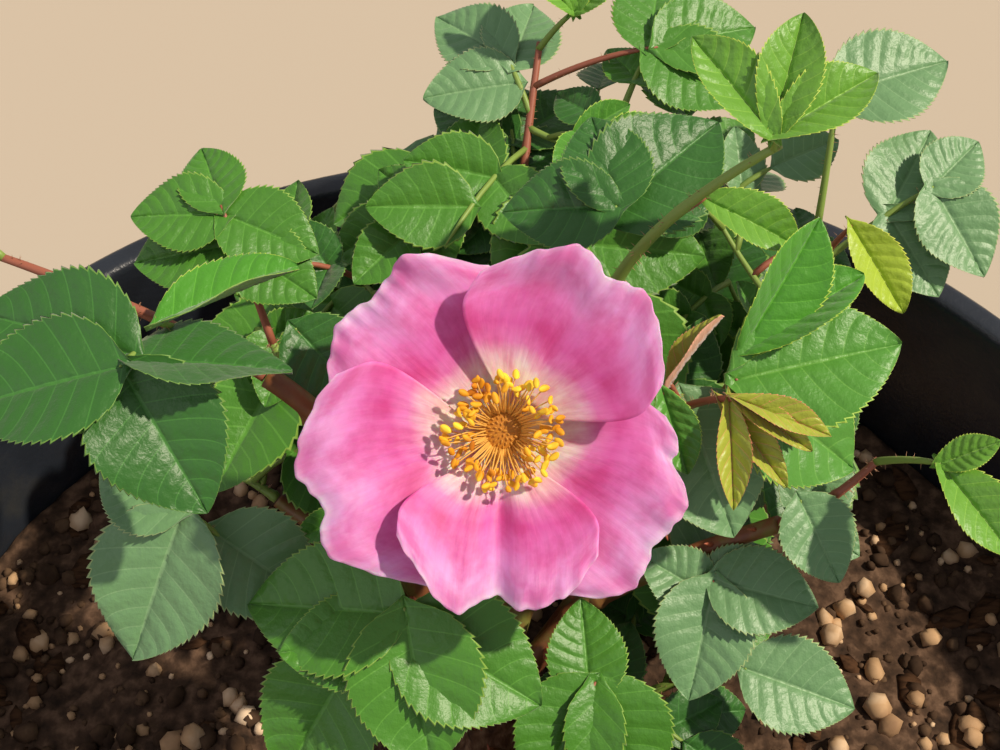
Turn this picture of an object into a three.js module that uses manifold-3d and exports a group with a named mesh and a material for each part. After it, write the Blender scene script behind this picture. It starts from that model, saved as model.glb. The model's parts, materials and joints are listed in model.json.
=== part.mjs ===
// A potted rose bush: a young single-flowered shrub rose in a round plastic nursery pot.
// Units are millimetres, +Z is up, and the origin is the middle of the pot's flat underside.
// The bloom faces the viewer, who stands on the -Y side and looks down on the bush.
import * as THREE from "three";
import { mergeVertices } from "three/addons/utils/BufferGeometryUtils.js";
import Module from "manifold-3d";

const wasm = await Module();
wasm.setup();

// Driving dimensions
const GAP = 0.3; // air left between two pieces that rest on each other
const SLIVER = 0.04; // details smaller than this are smoothed away where solids are joined
const POT = {
  height: 235,
  rimRadius: 150,
  rimDrop: 24,
  rimStep: 4,
  underRim: 3, // height of the slope under the rim
  lipWidth: 6.4,
  lipRound: 1.6,
  footRadius: 117,
  footRound: 2,
  wall: 2.6,
  floor: 3.2,
  facets: 48,
  holes: 8,
  holeRadius: 6,
  holeCircle: 84,
};
const SOIL = { level: 190, dome: 4, clear: 4 };
const STEM = { foot: [0, 12], lean: [-2, 5], height: 34, flare: 13, waist: 7.2, top: 6.4, knuckle: 1.2 };
const BLOOM = {
  centre: [0, 25, 300],
  tilt: 36, // degrees that the face leans forward from straight up
  petalLength: 30,
  clawRadius: 4.2,
  clawHalfWidth: 2,
  petalThick: 0.4,
  bowl: 7.5,
  layer: 1.1,
  lift: 2.2,
  hipLength: 13,
  sepalLength: 17,
};
const STAMEN = {
  count: 30,
  ringRadius: 8.6,
  innerShare: 0.74, // every third stands closer in, and higher
  height: [5.2, 1.8],
  filament: 0.28,
  anther: [0.95, 0.55],
  foot: [2.4, 2.2],
};
const DISC_PROFILE = [[0, 0], [3.7, 0], [3.9, 1.6], [3.4, 2.9], [1.8, 3.8], [0, 4]];
const SEPAL = { width: 0.14, fold: 0, curl: 0 };
const LEAF = {
  thick: 0.6,
  stalkRadius: 0.75,
  twigRadius: 1.5,
  guard: 0.4,
  sink: 2, // how far the root of a leaflet reaches into its stalk
  facing: [0, -0.35, 0.94], // where an upper face looks: up and a little to the front
};
// Each kind of leaflet: its half width over its length, how far its halves fold up in degrees, and its curl.
const KINDS = {
  mature: { width: 0.39, fold: 10, curl: 0.08 },
  young: { width: 0.3, fold: 30, curl: 0.06 },
  bronze: { width: 0.25, fold: 42, curl: 0.1 },
};
// Free leaves keep inside two ovals of the plan. Over the back one the crown's top rises from the front to a
// peak, and over the near one it is low and falls towards the bloom.
const CROWN = {
  back: { middle: [2, 60], reach: [74, 74], foot: 225, slope: 0.75, peak: [30, 75, 352] },
  near: { middle: [0, -28], reach: [60, 50], top: 262, slope: 1.1 },
};

// Materials
const COLOURS = {
  pot: [0x17181b, 0.55],
  soil: [0x35261d, 0.95],
  bark: [0x6d4a35, 0.8],
  cane: [0x6f7a3a, 0.6],
  leaf: [0x3f6f2c, 0.55],
  petal: [0xe58fbe, 0.6],
  stamen: [0xe0a21c, 0.6],
  calyx: [0x6f8f3a, 0.6],
};
const materials = {};
for (const [name, [color, roughness]] of Object.entries(COLOURS))
  materials[name] = new THREE.MeshStandardMaterial({ color, roughness, metalness: 0 });

const bush = new THREE.Group();
bush.name = "rose_bush";

// Small helpers
const vector = (xyz) => new THREE.Vector3(...xyz);
const radians = THREE.MathUtils.degToRad;
const smooth = (t) => {
  const s = Math.min(1, Math.max(0, t));
  return s * s * (3 - 2 * s);
};

// A direction from a compass angle (0 is +X, 90 is +Y) and a rise above level, in degrees.
function heading(azimuth, rise) {
  const a = radians(azimuth);
  const r = radians(rise);
  return new THREE.Vector3(Math.cos(a) * Math.cos(r), Math.sin(a) * Math.cos(r), Math.sin(r));
}

// Numbers from 0 to 1 that come in the same order on each run.
function seeded(seed) {
  let state = seed >>> 0;
  return () => {
    state = (state + 0x6d2b79f5) >>> 0;
    let t = state;
    t = Math.imul(t ^ (t >>> 15), t | 1);
    t ^= t + Math.imul(t ^ (t >>> 7), t | 61);
    return ((t ^ (t >>> 14)) >>> 0) / 4294967296;
  };
}

function solidOf(geometry) {
  const bare = geometry.clone();
  bare.deleteAttribute("normal");
  bare.deleteAttribute("uv");
  const merged = mergeVertices(bare, 1e-3);
  return new wasm.Manifold(
    new wasm.Mesh({
      numProp: 3,
      vertProperties: new Float32Array(merged.attributes.position.array),
      triVerts: new Uint32Array(merged.index.array),
    }),
  );
}

// The largest of the bodies in a solid, without the slivers that joining leaves behind.
function mainBody(solid) {
  const largest = solid.decompose().sort((a, b) => b.volume() - a.volume())[0];
  return largest.asOriginal().simplify(SLIVER);
}

function geometryOf(solid) {
  const mesh = solid.getMesh();
  const geometry = new THREE.BufferGeometry();
  geometry.setAttribute("position", new THREE.BufferAttribute(mesh.vertProperties, 3));
  geometry.setIndex(new THREE.BufferAttribute(mesh.triVerts, 1));
  geometry.computeVertexNormals();
  return geometry;
}

function addNode(name, solid, look) {
  const mesh = new THREE.Mesh(geometryOf(solid), materials[look]);
  mesh.name = name;
  bush.add(mesh);
}

// Moves each vertex of a geometry to the place that the function returns for it.
function reshape(geometry, place) {
  const position = geometry.attributes.position;
  const from = new THREE.Vector3();
  for (let i = 0; i < position.count; i++) {
    const to = place(from.fromBufferAttribute(position, i));
    position.setXYZ(i, to.x, to.y, to.z);
  }
  return geometry;
}

// Limbs: a cylinder bent along a curve, with a radius that changes on the way
function framesAlong(curve, steps) {
  const frames = [];
  let up = Math.abs(curve.getTangent(0).z) > 0.9 ? new THREE.Vector3(0, 1, 0) : new THREE.Vector3(0, 0, 1);
  for (let k = 0; k <= steps; k++) {
    const along = curve.getTangent(k / steps);
    up = up.clone().addScaledVector(along, -up.dot(along)).normalize();
    frames.push({ at: curve.getPoint(k / steps), along, up, side: along.clone().cross(up) });
  }
  return frames;
}

function limbGeometry(curve, radiusAt, sides, steps) {
  const frames = framesAlong(curve, steps);
  return reshape(new THREE.CylinderGeometry(1, 1, 1, sides, steps), (p) => {
    const t = p.y + 0.5;
    const { at, up, side } = frames[Math.round(t * steps)];
    const radius = radiusAt(t);
    return at.clone().addScaledVector(side, p.x * radius).addScaledVector(up, p.z * radius);
  });
}

const limbSolid = (...rest) => solidOf(limbGeometry(...rest));
const taper = (from, to) => (t) => from + (to - from) * t;

// Pot and soil
function potInnerRadius(z) {
  const body = POT.rimRadius - POT.rimStep;
  return POT.footRadius + ((body - POT.footRadius) * z) / POT.height - POT.wall;
}

function makePot() {
  const { height, rimRadius, rimDrop, rimStep, underRim, lipWidth, lipRound } = POT;
  const { footRadius, footRound, wall, floor } = POT;
  const profile = [
    [0, 0],
    [footRadius - footRound, 0],
    [footRadius, footRound],
    [rimRadius - rimStep - wall / 2, height - rimDrop - underRim],
    [rimRadius - lipRound, height - rimDrop],
    [rimRadius, height - lipRound],
    [rimRadius - lipRound, height],
    [rimRadius - lipWidth + lipRound, height],
    [rimRadius - lipWidth, height - lipRound],
    [potInnerRadius(height - rimDrop), height - rimDrop],
    [potInnerRadius(floor), floor],
    [0, floor],
  ];
  const shell = new THREE.LatheGeometry(profile.map(([r, z]) => new THREE.Vector2(r, z)), POT.facets);
  shell.rotateX(Math.PI / 2);
  let pot = solidOf(shell);
  for (let k = 0; k < POT.holes; k++) {
    const turn = (k / POT.holes) * 2 * Math.PI;
    const drill = new THREE.CylinderGeometry(POT.holeRadius, POT.holeRadius, 4 * floor, 12);
    drill.rotateX(Math.PI / 2);
    drill.translate(POT.holeCircle * Math.cos(turn), POT.holeCircle * Math.sin(turn), 0);
    pot = pot.subtract(solidOf(drill));
  }
  addNode("pot", pot, "pot");
}

function makeSoil() {
  const foot = POT.floor + GAP;
  const edge = SOIL.level - SOIL.dome;
  const profile = [
    [0, foot],
    [potInnerRadius(foot) - 2 * GAP, foot],
    [potInnerRadius(edge) - 2 * GAP, edge],
    [potInnerRadius(edge) * 0.82, SOIL.level - SOIL.dome * 0.3],
    [potInnerRadius(edge) * 0.4, SOIL.level],
    [0, SOIL.level],
  ];
  const body = new THREE.LatheGeometry(profile.map(([r, z]) => new THREE.Vector2(r, z)), POT.facets);
  body.rotateX(Math.PI / 2);
  addNode("soil", solidOf(body), "soil");
}

// Woody limbs
const limbs = {};

// The short main stem: flared at the flat cut on the soil, then a knuckle that the canes leave.
function makeMainStem() {
  const [x, y] = STEM.foot;
  const [leanX, leanY] = STEM.lean;
  const ground = SOIL.level + GAP;
  const curve = new THREE.CubicBezierCurve3(
    new THREE.Vector3(x, y, ground),
    new THREE.Vector3(x, y, ground + STEM.height * 0.4),
    new THREE.Vector3(x + leanX * 0.5, y + leanY * 0.5, ground + STEM.height * 0.7),
    new THREE.Vector3(x + leanX, y + leanY, ground + STEM.height),
  );
  const radiusAt = (t) => {
    const flare = (STEM.flare - STEM.waist) * (1 - smooth(t / 0.35));
    const knuckle = STEM.knuckle * Math.sin(Math.PI * smooth((t - 0.4) / 0.6));
    return THREE.MathUtils.lerp(STEM.waist, STEM.top, t) + flare + knuckle;
  };
  const sides = 10;
  const steps = 8;
  let stem = limbSolid(curve, radiusAt, sides, steps);
  const below = new THREE.BoxGeometry(60, 60, 20);
  below.translate(x, y, ground - 10);
  stem = stem.subtract(solidOf(below));
  addNode("main_stem", stem, "bark");
  limbs.main_stem = { curve, grown: limbSolid(curve, (t) => radiusAt(t) + GAP, sides, steps) };
}

// Each bough: the limb that it leaves, how far up that limb, where it ends, and the compass angle and rise
// in which it ends. Its end is where its mass of leaves begins.
const BOUGHS = [
  ["cane_left", "main_stem", 0.8, [-38, 36, 299], [155, 20]],
  ["cane_front", "main_stem", 0.62, [-17, 4, 252], [200, 55]],
  ["cane_front_right", "main_stem", 0.5, [27, 14, 222], [15, 35]],
  ["cane_right", "main_stem", 0.82, [41, 38, 272], [340, 62]],
  ["cane_upper", "main_stem", 0.95, [17, 50, 300], [40, 72]],
  ["cane_back_right", "main_stem", 0.66, [48, 62, 270], [40, 50]],
  ["cane_back", "main_stem", 0.8, [2, 84, 262], [85, 40]],
  ["side_left_back", "cane_left", 0.42, [-38, 48, 286], [120, 35]],
  ["side_left_low", "cane_left", 0.3, [-34, 20, 256], [180, 45]],
  ["side_far_left", "cane_left", 0.2, [-46, 52, 234], [150, 25]],
  ["side_front_low", "cane_front_right", 0.4, [11, 1, 228], [290, 45]],
  ["cane_near", "main_stem", 0.42, [-4, -24, 236], [265, 45]],
  ["side_near_left", "cane_near", 0.45, [-32, -18, 232], [205, 35]],
  ["side_near_right", "cane_near", 0.6, [26, -26, 232], [325, 35]],
  ["side_right_low", "cane_right", 0.35, [51, 33, 257], [350, 45]],
  ["side_right_near", "cane_right", 0.55, [22, 34, 284], [345, 60]],
  ["side_back_mid", "cane_upper", 0.55, [9, 56, 286], [80, 60]],
  ["side_far_right", "cane_back_right", 0.45, [54, 74, 238], [40, 20]],
  ["side_back_left", "cane_back", 0.5, [-20, 84, 246], [125, 35]],
  ["side_back_low", "cane_back", 0.34, [22, 82, 230], [70, 15]],
];
const BOUGH_SIDES = 6;
const BOUGH_STEPS = 6;
const BOUGH_RADII = { cane: [2.7, 1.75], side: [2.1, 1.6], bloom: [2.5, 1.3] };
const BOUGH_BEND = { out: 0.75, up: 0.66, leaves: 0.38, arrives: 0.32 }; // how it leaves its limb and ends

// A bough starts inside the limb that carries it and is then cut back to a gap from the limbs around it.
function makeBough(name, parent, share, end, [azimuth, rise], radii) {
  const carrier = limbs[parent];
  const start = carrier.curve.getPoint(share);
  const finish = vector(end);
  const reach = start.distanceTo(finish);
  const out = finish.clone().sub(start).setZ(0).normalize();
  const leave = out.multiplyScalar(BOUGH_BEND.out).add(new THREE.Vector3(0, 0, BOUGH_BEND.up));
  const curve = new THREE.CubicBezierCurve3(
    start,
    start.clone().addScaledVector(leave, reach * BOUGH_BEND.leaves),
    finish.clone().addScaledVector(heading(azimuth, rise), -reach * BOUGH_BEND.arrives),
    finish,
  );
  const radiusAt = taper(...radii);
  const around = wasm.Manifold.union(Object.values(limbs).map((limb) => limb.grown));
  const grown = limbSolid(curve, (t) => radiusAt(t) + GAP, BOUGH_SIDES, BOUGH_STEPS);
  limbs[name] = { curve, grown };
  addNode(name, mainBody(limbSolid(curve, radiusAt, BOUGH_SIDES, BOUGH_STEPS).subtract(around)), "cane");
}

// Bloom: its own frame has +Z out of its face, +Y to the top of the flower as the viewer sees it
const bloomFrame = new THREE.Matrix4()
  .makeTranslation(...BLOOM.centre)
  .multiply(new THREE.Matrix4().makeRotationX(radians(BLOOM.tilt)));

// Five petals: the compass angle of each on the face, length and half width as shares of a full petal, how
// many layers it lies up, whether its two sides are lifted (1) or tucked under (-1), anticlockwise side
// first, and how deep its notch is.
const PETALS = [
  ["petal_upper_right", 61, 1.0, 0.56, 2, [1, 1], 0.06],
  ["petal_upper_left", 138, 1.02, 0.58, 0, [-1, -1], 0.05],
  ["petal_left", 202, 1.08, 0.58, 1, [-1, 1], 0.07],
  ["petal_lower", 267, 0.94, 0.5, 2, [1, 1], 0.08],
  ["petal_right", 323, 1.04, 0.56, 0, [-1, -1], 0.1],
];

// How far the cup of the bloom has risen at a distance from its middle.
const bowl = (radius) => (BLOOM.bowl * (1 - Math.cos(Math.PI * Math.min(1, radius / BLOOM.petalLength)))) / 2;

// The middle surface of a petal: across runs from -1 to 1, along from 0 at the claw to 1 at the rim.
function petalPoint([, angle, lengthShare, widthShare, layer, sides, notch], across, along) {
  const full = BLOOM.petalLength * lengthShare;
  const rimDrop = 0.4 * Math.abs(across) ** 2.4 + notch * Math.exp(-((across / 0.25) ** 2));
  const reach = BLOOM.clawRadius + (full * (1 - rimDrop) - BLOOM.clawRadius) * along;
  const spread = Math.sin((Math.PI / 2) * Math.min(1, along / 0.72)) ** 1.1;
  const widest = BLOOM.petalLength * widthShare;
  const off = across * (BLOOM.clawHalfWidth + (widest - BLOOM.clawHalfWidth) * spread);
  const turn = radians(angle);
  const x = reach * Math.cos(turn) + off * Math.sin(turn);
  const y = reach * Math.sin(turn) - off * Math.cos(turn);
  const side = (across > 0 ? sides[1] : sides[0]) * across * across;
  const lift = side * BLOOM.lift * smooth(along * 1.4);
  return new THREE.Vector3(x, y, bowl(Math.hypot(x, y)) + layer * BLOOM.layer * smooth(along / 0.08) + lift);
}

function petalSolid(petal) {
  const rows = [0, 0.05, 0.12, 0.26, 0.42, 0.6, 0.8, 1];
  const steps = rows.length - 1;
  const sheet = reshape(new THREE.BoxGeometry(2, 1, 1, 8, steps, 1), (p) => {
    const along = rows[Math.round((p.y + 0.5) * steps)];
    return petalPoint(petal, p.x, along).add(new THREE.Vector3(0, 0, p.z * BLOOM.petalThick));
  });
  return solidOf(sheet.applyMatrix4(bloomFrame));
}

// The golden disc in the middle and the ring of anthers on their filaments, fused
function stamenSolid() {
  const disc = new THREE.LatheGeometry(DISC_PROFILE.map(([r, z]) => new THREE.Vector2(r, z)), 12);
  disc.rotateX(Math.PI / 2);
  const parts = [solidOf(disc)];
  const random = seeded(7);
  for (let k = 0; k < STAMEN.count; k++) {
    const turn = ((k + 0.5 * random()) / STAMEN.count) * 2 * Math.PI;
    const inner = k % 3 === 0 ? STAMEN.innerShare : 1;
    const radius = STAMEN.ringRadius * inner * (0.92 + 0.16 * random());
    const height = STAMEN.height[0] + STAMEN.height[1] * random() + 5 * (1 - inner);
    const out = new THREE.Vector3(Math.cos(turn), Math.sin(turn), 0);
    const tip = out.clone().multiplyScalar(radius).setZ(height);
    const curve = new THREE.QuadraticBezierCurve3(
      out.clone().multiplyScalar(STAMEN.foot[0]).setZ(STAMEN.foot[1]),
      out.clone().multiplyScalar(radius * 0.66).setZ(height * 0.86),
      tip,
    );
    parts.push(limbSolid(curve, () => STAMEN.filament, 3, 2));
    const anther = new THREE.OctahedronGeometry(1);
    anther.scale(STAMEN.anther[0], STAMEN.anther[1], STAMEN.anther[1]);
    anther.rotateZ(turn + (random() - 0.5) * 2.4);
    anther.translate(tip.x, tip.y, tip.z);
    parts.push(solidOf(anther));
  }
  return mainBody(wasm.Manifold.union(parts)).transform(bloomFrame.elements);
}

// The swollen hip under the bloom with its five sepals, fused
function calyxSolid() {
  const length = BLOOM.hipLength;
  const profile = [
    [0, -length], [1.4, -length], [2.2, -length * 0.86], [3.7, -length * 0.62],
    [3.6, -length * 0.4], [2.7, -length * 0.22], [4.6, -1], [5, -0.3], [0, -0.3],
  ];
  const hip = new THREE.LatheGeometry(profile.map(([r, z]) => new THREE.Vector2(r, z)), 12);
  hip.rotateX(Math.PI / 2);
  const parts = [solidOf(hip)];
  for (const [, angle] of PETALS) {
    const turn = radians(angle + 34);
    const frame = new THREE.Matrix4().makeRotationZ(turn);
    frame.multiply(new THREE.Matrix4().makeTranslation(2.4, 0, -1.1));
    frame.multiply(new THREE.Matrix4().makeRotationY(radians(4)));
    parts.push(solidOf(leafletGeometry(BLOOM.sepalLength, SEPAL).applyMatrix4(frame)));
  }
  return mainBody(wasm.Manifold.union(parts)).transform(bloomFrame.elements);
}

// Leaves
// How wide a leaflet is at a share of its length, as a share of its widest.
const outline = (s) => Math.sin(Math.PI * Math.min(1, Math.max(0, s)) ** 0.86) ** 0.78;

// A leaflet lies along +X with its upper face to +Z. Its two halves fold up by an angle and it curls down.
function leafletGeometry(length, { width, fold, curl }, fat = 0) {
  const rise = Math.tan(radians(fold));
  const grow = 1 + fat / 8;
  return reshape(new THREE.SphereGeometry(1, 6, 2), (p) => {
    const s = (p.x + 1) / 2;
    const across = length * width * outline(s) * Math.sign(Math.round(p.z * 100)) * grow;
    const x = length * (0.5 + (s - 0.5) * grow);
    const height = p.y * (LEAF.thick / 2 + fat) + Math.abs(across) * rise - curl * length * s * s;
    return new THREE.Vector3(x, -across, height);
  });
}

// A leaflet that leaves its stalk in one direction, with its face as the light draws it, then rolled.
function leafletPlan(root, direction, roll, length, kind) {
  const face = vector(LEAF.facing);
  face.addScaledVector(direction, -face.dot(direction)).normalize();
  face.applyAxisAngle(direction, radians(roll));
  const start = root.clone().addScaledVector(direction, -LEAF.sink);
  const side = face.clone().cross(direction);
  return { frame: new THREE.Matrix4().makeBasis(direction, side, face).setPosition(start), length, kind };
}

const leafletSolid = ({ frame, length, kind }, fat = 0) =>
  solidOf(leafletGeometry(length + LEAF.sink, KINDS[kind], fat).applyMatrix4(frame));

// A leaf that the table places: its stalk goes from the twig to a given point, and each leaflet is
// [how far back along the stalk, compass angle, rise, length, roll].
function placedLeaf(mass, [share, tip, kind, leaflets]) {
  const base = mass.curve.getPoint(share);
  const end = vector(tip);
  const middle = base.clone().lerp(end, 0.5).add(new THREE.Vector3(0, 0, 0.12 * base.distanceTo(end)));
  const stalk = new THREE.QuadraticBezierCurve3(base, middle, end);
  const whole = base.distanceTo(end);
  const plans = leaflets.map(([back, azimuth, rise, length, roll]) => {
    const root = stalk.getPoint(Math.max(0.1, 1 - back / whole));
    return leafletPlan(root, heading(azimuth, rise), roll, length, kind);
  });
  return { stalk, leaflets: plans };
}

// A leaf that grows by rule: a leaflet at the end of its stalk, and pairs that turn off it on the way.
function freeLeaf({ base, azimuth, rise, length, roll, size, droop }) {
  const tip = base.clone().addScaledVector(heading(azimuth, rise), length);
  tip.z -= droop * length;
  const bend = base.clone().addScaledVector(heading(azimuth, rise + FREE.bend), length * 0.5);
  const stalk = new THREE.QuadraticBezierCurve3(base, bend, tip);
  const plans = [leafletPlan(tip, stalk.getTangent(1), roll, size, "mature")];
  for (let k = 1; k <= FREE.pairs; k++) {
    const share = 1 - (k * FREE.pairStep) / (FREE.pairs + 0.2);
    const along = stalk.getTangent(share);
    const up = vector(LEAF.facing);
    up.addScaledVector(along, -up.dot(along)).normalize().applyAxisAngle(along, radians(roll));
    for (const side of [-1, 1]) {
      const turn = FREE.pairTurn[0] + FREE.pairTurn[1] * k;
      const direction = along.clone().applyAxisAngle(up, radians(side * turn));
      const length = size * (FREE.pairSize[0] - FREE.pairSize[1] * k);
      plans.push(leafletPlan(stalk.getPoint(share), direction, roll, length, "mature"));
    }
  }
  return { stalk, leaflets: plans };
}

// Masses of leaves. Each grows from the end of its bough on one twig: the compass angle, rise and length of
// the twig, the seed of its free leaves and how many it carries, and the leaves that have a place of their own,
// each as [share of the twig, end of the stalk, kind, leaflets].
const MASSES = [
  ["leaves_left_near", "cane_left", [158, 10, 50], [11, 1], [
    [0.36, [-57, 27, 314], "mature", [
      [0, 306, -32, 26, 0], [0, 192, -5, 26, 10], [2.6, 4, -5, 25, -48], [4.2, 165, 7, 26, 0],
    ]],
    [0.3, [-53, 36, 313], "young", [[0, 29, 5, 24, -40]]],
    [0.96, [-92, 60, 312], "young", [[0, 185, 10, 15, 0], [5, 230, 5, 13, 0], [5, 120, 10, 13, 0]]],
  ]],
  ["leaves_left_back", "side_left_back", [142, 14, 38], [12, 3], [
    [0.12, [-48, 67, 306], "mature", [
      [0, 111, 9, 14, 0], [2, 179, 0, 17, 0], [2, 339, -8, 18, 0], [8, 185, -7, 19, 0], [8.5, 328, -9, 17, 0],
    ]],
    [0.04, [-34, 45, 300], "mature", [[0, 320, -25, 17, 0]]],
  ]],
  ["leaves_left_low", "side_left_low", [170, 25, 24], [13, 3], [
    [0.55, [-53, 22, 281], "mature", [[0, 242, -40, 29, 0], [0, 154, 2, 18, 0], [9, 334, -29, 23, 0]]],
  ]],
  ["leaves_front", "cane_front", [235, 60, 20], [14, 2], [
    [0.35, [-16, 7, 275], "mature", [
      [0, 281, -35, 28, 0], [1.7, 172, -7, 28, 0], [4, 335, -19, 28, 0], [8, 191, 6, 20, 0],
    ]],
    [0.7, [-25, 2, 266], "mature", [[0, 228, -42, 27, 0]]],
  ]],
  ["leaves_front_low", "side_front_low", [275, 25, 26], [15, 3], [
    [0.08, [17, 9, 241], "mature", [
      [0, 238, -25, 25, 0], [0, 297, -28, 25, 0], [3, 95, 28, 18, 0],
    ]],
  ]],
  ["leaves_near", "cane_near", [268, 30, 30], [31, 4], []],
  ["leaves_near_left", "side_near_left", [215, 25, 22], [32, 4], []],
  ["leaves_near_right", "side_near_right", [325, 25, 24], [33, 4], []],
  ["leaves_front_right", "cane_front_right", [5, 32, 27], [16, 2], [
    [0.3, [39, 25, 250], "mature", [
      [0, 256, -28, 23, 0], [0, 343, 3, 20, 0], [5, 20, 23, 17, 0], [4, 153, 17, 15, 0],
    ]],
    [0.75, [45, 12, 240], "mature", [[0, 342, -7, 22, 0]]],
  ]],
  ["leaves_right_near", "side_right_near", [350, 55, 16], [17, 0], [
    [0.4, [29, 34, 297], "mature", [[0, 297, -37, 26, 0]]],
    [0.9, [36, 26, 307], "bronze", [
      [0, 343, -11, 16, 0], [1.6, 330, -14, 15, 0], [5.7, 313, -24, 18, 0], [3, 274, -35, 18, 0],
    ]],
    [0.7, [25, 30, 303], "young", [[0, 291, -34, 14, 0]]],
    [0.8, [26, 32, 303], "bronze", [[0, 46, 46, 14, -60]]],
  ]],
  ["leaves_right_fold", "cane_right", [80, 62, 34], [18, 1], [
    [0.55, [37, 34, 301], "mature", [[0, 10, 9, 28, 0], [0, 341, -32, 28, 0]]],
    [0.8, [38, 38, 303], "young", [[0, 49, 39, 25, 35], [0, 28, 20, 24, -20]]],
  ]],
  ["leaves_right_low", "side_right_low", [12, 48, 22], [19, 2], [
    [1, [73, 29, 284], "young", [[0, 3, 37, 11, 0], [0, 304, -11, 20, 0]]],
    [0.2, [53, 32, 267], "mature", [[0, 301, -31, 17, 0], [8, 330, -14, 14, 0], [9, 50, 29, 16, 0]]],
  ]],
  ["leaves_upper_right", "cane_upper", [5, 56, 41], [20, 0], [
    [1, [39, 51, 338], "young", [[0, 136, 30, 19, 0], [0, 72, 38, 19, 0], [0, 28, 16, 19, 0]]],
    [0.45, [33, 61, 314], "young", [[0, 336, -12, 18, 0]]],
  ]],
  ["leaves_back_right", "cane_back_right", [60, 40, 30], [21, 2], [
    [0.55, [77, 78, 299], "mature", [
      [0, 302, -24, 19, 0], [0, 44, 13, 14, 0], [10, 304, -23, 18, 0], [10, 59, 19, 20, 0],
    ]],
    [0.9, [60, 92, 308], "mature", [[0, 19, 7, 23, 0]]],
    [0.4, [60, 66, 302], "young", [[0, 303, -24, 18, 0]]],
  ]],
  ["leaves_back_mid", "side_back_mid", [62, 52, 28], [22, 2], [
    [0.5, [19, 64, 309], "mature", [[0, 177, -5, 20, 0], [0, 102, 15, 19, 0], [3.9, 40, 15, 28, 0]]],
  ]],
  ["leaves_back_top", "cane_back", [82, 38, 50], [23, 5], [
    [0.98, [14, 122, 302], "young", [[0, 80, 50, 18, 0], [0, 150, 40, 15, 0], [0, 20, 40, 15, 0]]],
    [0.75, [1, 122, 290], "mature", [[0, 140, 5, 20, 0], [2, 75, 5, 20, 0], [6, 190, 0, 20, 0]]],
    [0.85, [30, 114, 300], "mature", [[0, 20, 0, 22, 0], [2, 330, -10, 22, 0], [2, 80, 10, 20, 0]]],
  ]],
  ["leaves_back_left", "side_back_left", [130, 25, 34], [24, 4], []],
  ["leaves_back_low", "side_back_low", [72, 15, 34], [25, 4], []],
  ["leaves_far_left", "side_far_left", [160, 20, 26], [26, 4], []],
  ["leaves_far_right", "side_far_right", [40, 25, 26], [27, 4], []],
];
const FREE_TRIES = 60;
// A free leaf: its leaflets' size, its rise and its stalk, each as [least, spread], how far it rolls and
// droops, how its stalk bends, where its pairs of leaflets stand and turn, and how they shrink down the stalk.
const FREE = {
  size: [22, 6],
  rise: [5, 30],
  stalk: [1.15, 0.3],
  roll: 30,
  droop: 0.25,
  pairs: 2,
  bend: 18,
  pairStep: 0.62,
  pairTurn: [50, 7],
  pairSize: [0.97, 0.09],
};
const TURN_STEP = 137.5; // degrees from one leaf to the next up a twig

// What has been placed so far, so that nothing new touches it
const placed = [];
const place = (solid, name) => placed.push({ solid, name, box: solid.boundingBox() });

const apart = (a, b) =>
  [0, 1, 2].some((i) => a.max[i] < b.min[i] - LEAF.guard || b.max[i] < a.min[i] - LEAF.guard);

// Whether a solid stays clear of all that is placed, apart from the named pieces that it may join.
function isClear(solid, ...joins) {
  const box = solid.boundingBox();
  return placed.every(
    (other) => joins.includes(other.name) || apart(box, other.box) || solid.intersect(other.solid).isEmpty(),
  );
}

const inOval = (x, y, { middle, reach }) =>
  ((x - middle[0]) / reach[0]) ** 2 + ((y - middle[1]) / reach[1]) ** 2 < 1;

function insideCrown(x, y, z) {
  const { back, near } = CROWN;
  const front = back.foot + back.slope * y;
  const edge = back.peak[2] - Math.hypot(x - back.peak[0], y - back.peak[1]);
  const underBack = inOval(x, y, back) && z < Math.min(front, edge);
  const nearTop = near.top - near.slope * Math.max(0, y - near.middle[1]);
  return underBack || (inOval(x, y, near) && z < nearTop);
}

// Leaves stay off the soil and off the pot's wall, and free ones also inside the crown and clear of the bloom.
const INTO_BLOOM = bloomFrame.clone().invert();
function inTheOpen(solid, isPlaced) {
  const { vertProperties } = solid.getMesh();
  for (let i = 0; i < vertProperties.length; i += 3) {
    const [x, y, z] = vertProperties.subarray(i, i + 3);
    if (z < SOIL.level + SOIL.clear) return false;
    if (z < POT.height + 4 && Math.hypot(x, y) > potInnerRadius(z) - 5) return false;
    const seen = new THREE.Vector3(x, y, z).applyMatrix4(INTO_BLOOM);
    const nearBloom = seen.z > -6 && Math.hypot(seen.x, seen.y) < 42 + seen.z * 0.4;
    if (!isPlaced && (nearBloom || !insideCrown(x, y, z))) return false;
  }
  return true;
}

// Tries one compound leaf. It is kept if its stalk is clear, with the leaflets that fit.
function tryLeaf(mass, plan, isPlaced) {
  const stalk = limbSolid(plan.stalk, taper(LEAF.stalkRadius, LEAF.stalkRadius * 0.62), 3, 2);
  const fatStalk = limbSolid(plan.stalk, () => LEAF.stalkRadius + LEAF.guard, 3, 2);
  const joins = isPlaced ? [mass.twig, mass.name] : [mass.twig];
  if (!isClear(fatStalk, ...joins) || !inTheOpen(stalk, isPlaced)) return false;
  const fitting = plan.leaflets.filter((leaflet) => {
    const fat = leafletSolid(leaflet, LEAF.guard);
    return isClear(fat, ...joins) && inTheOpen(fat, isPlaced);
  });
  const enough = isPlaced ? 1 : Math.ceil(plan.leaflets.length * 0.6);
  if (fitting.length < enough) return false;
  mass.parts.push(stalk);
  place(stalk, mass.name);
  for (const leaflet of fitting) {
    const solid = leafletSolid(leaflet);
    mass.parts.push(solid);
    place(solid, mass.name);
  }
  return fitting.length === plan.leaflets.length || !isPlaced;
}

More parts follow.
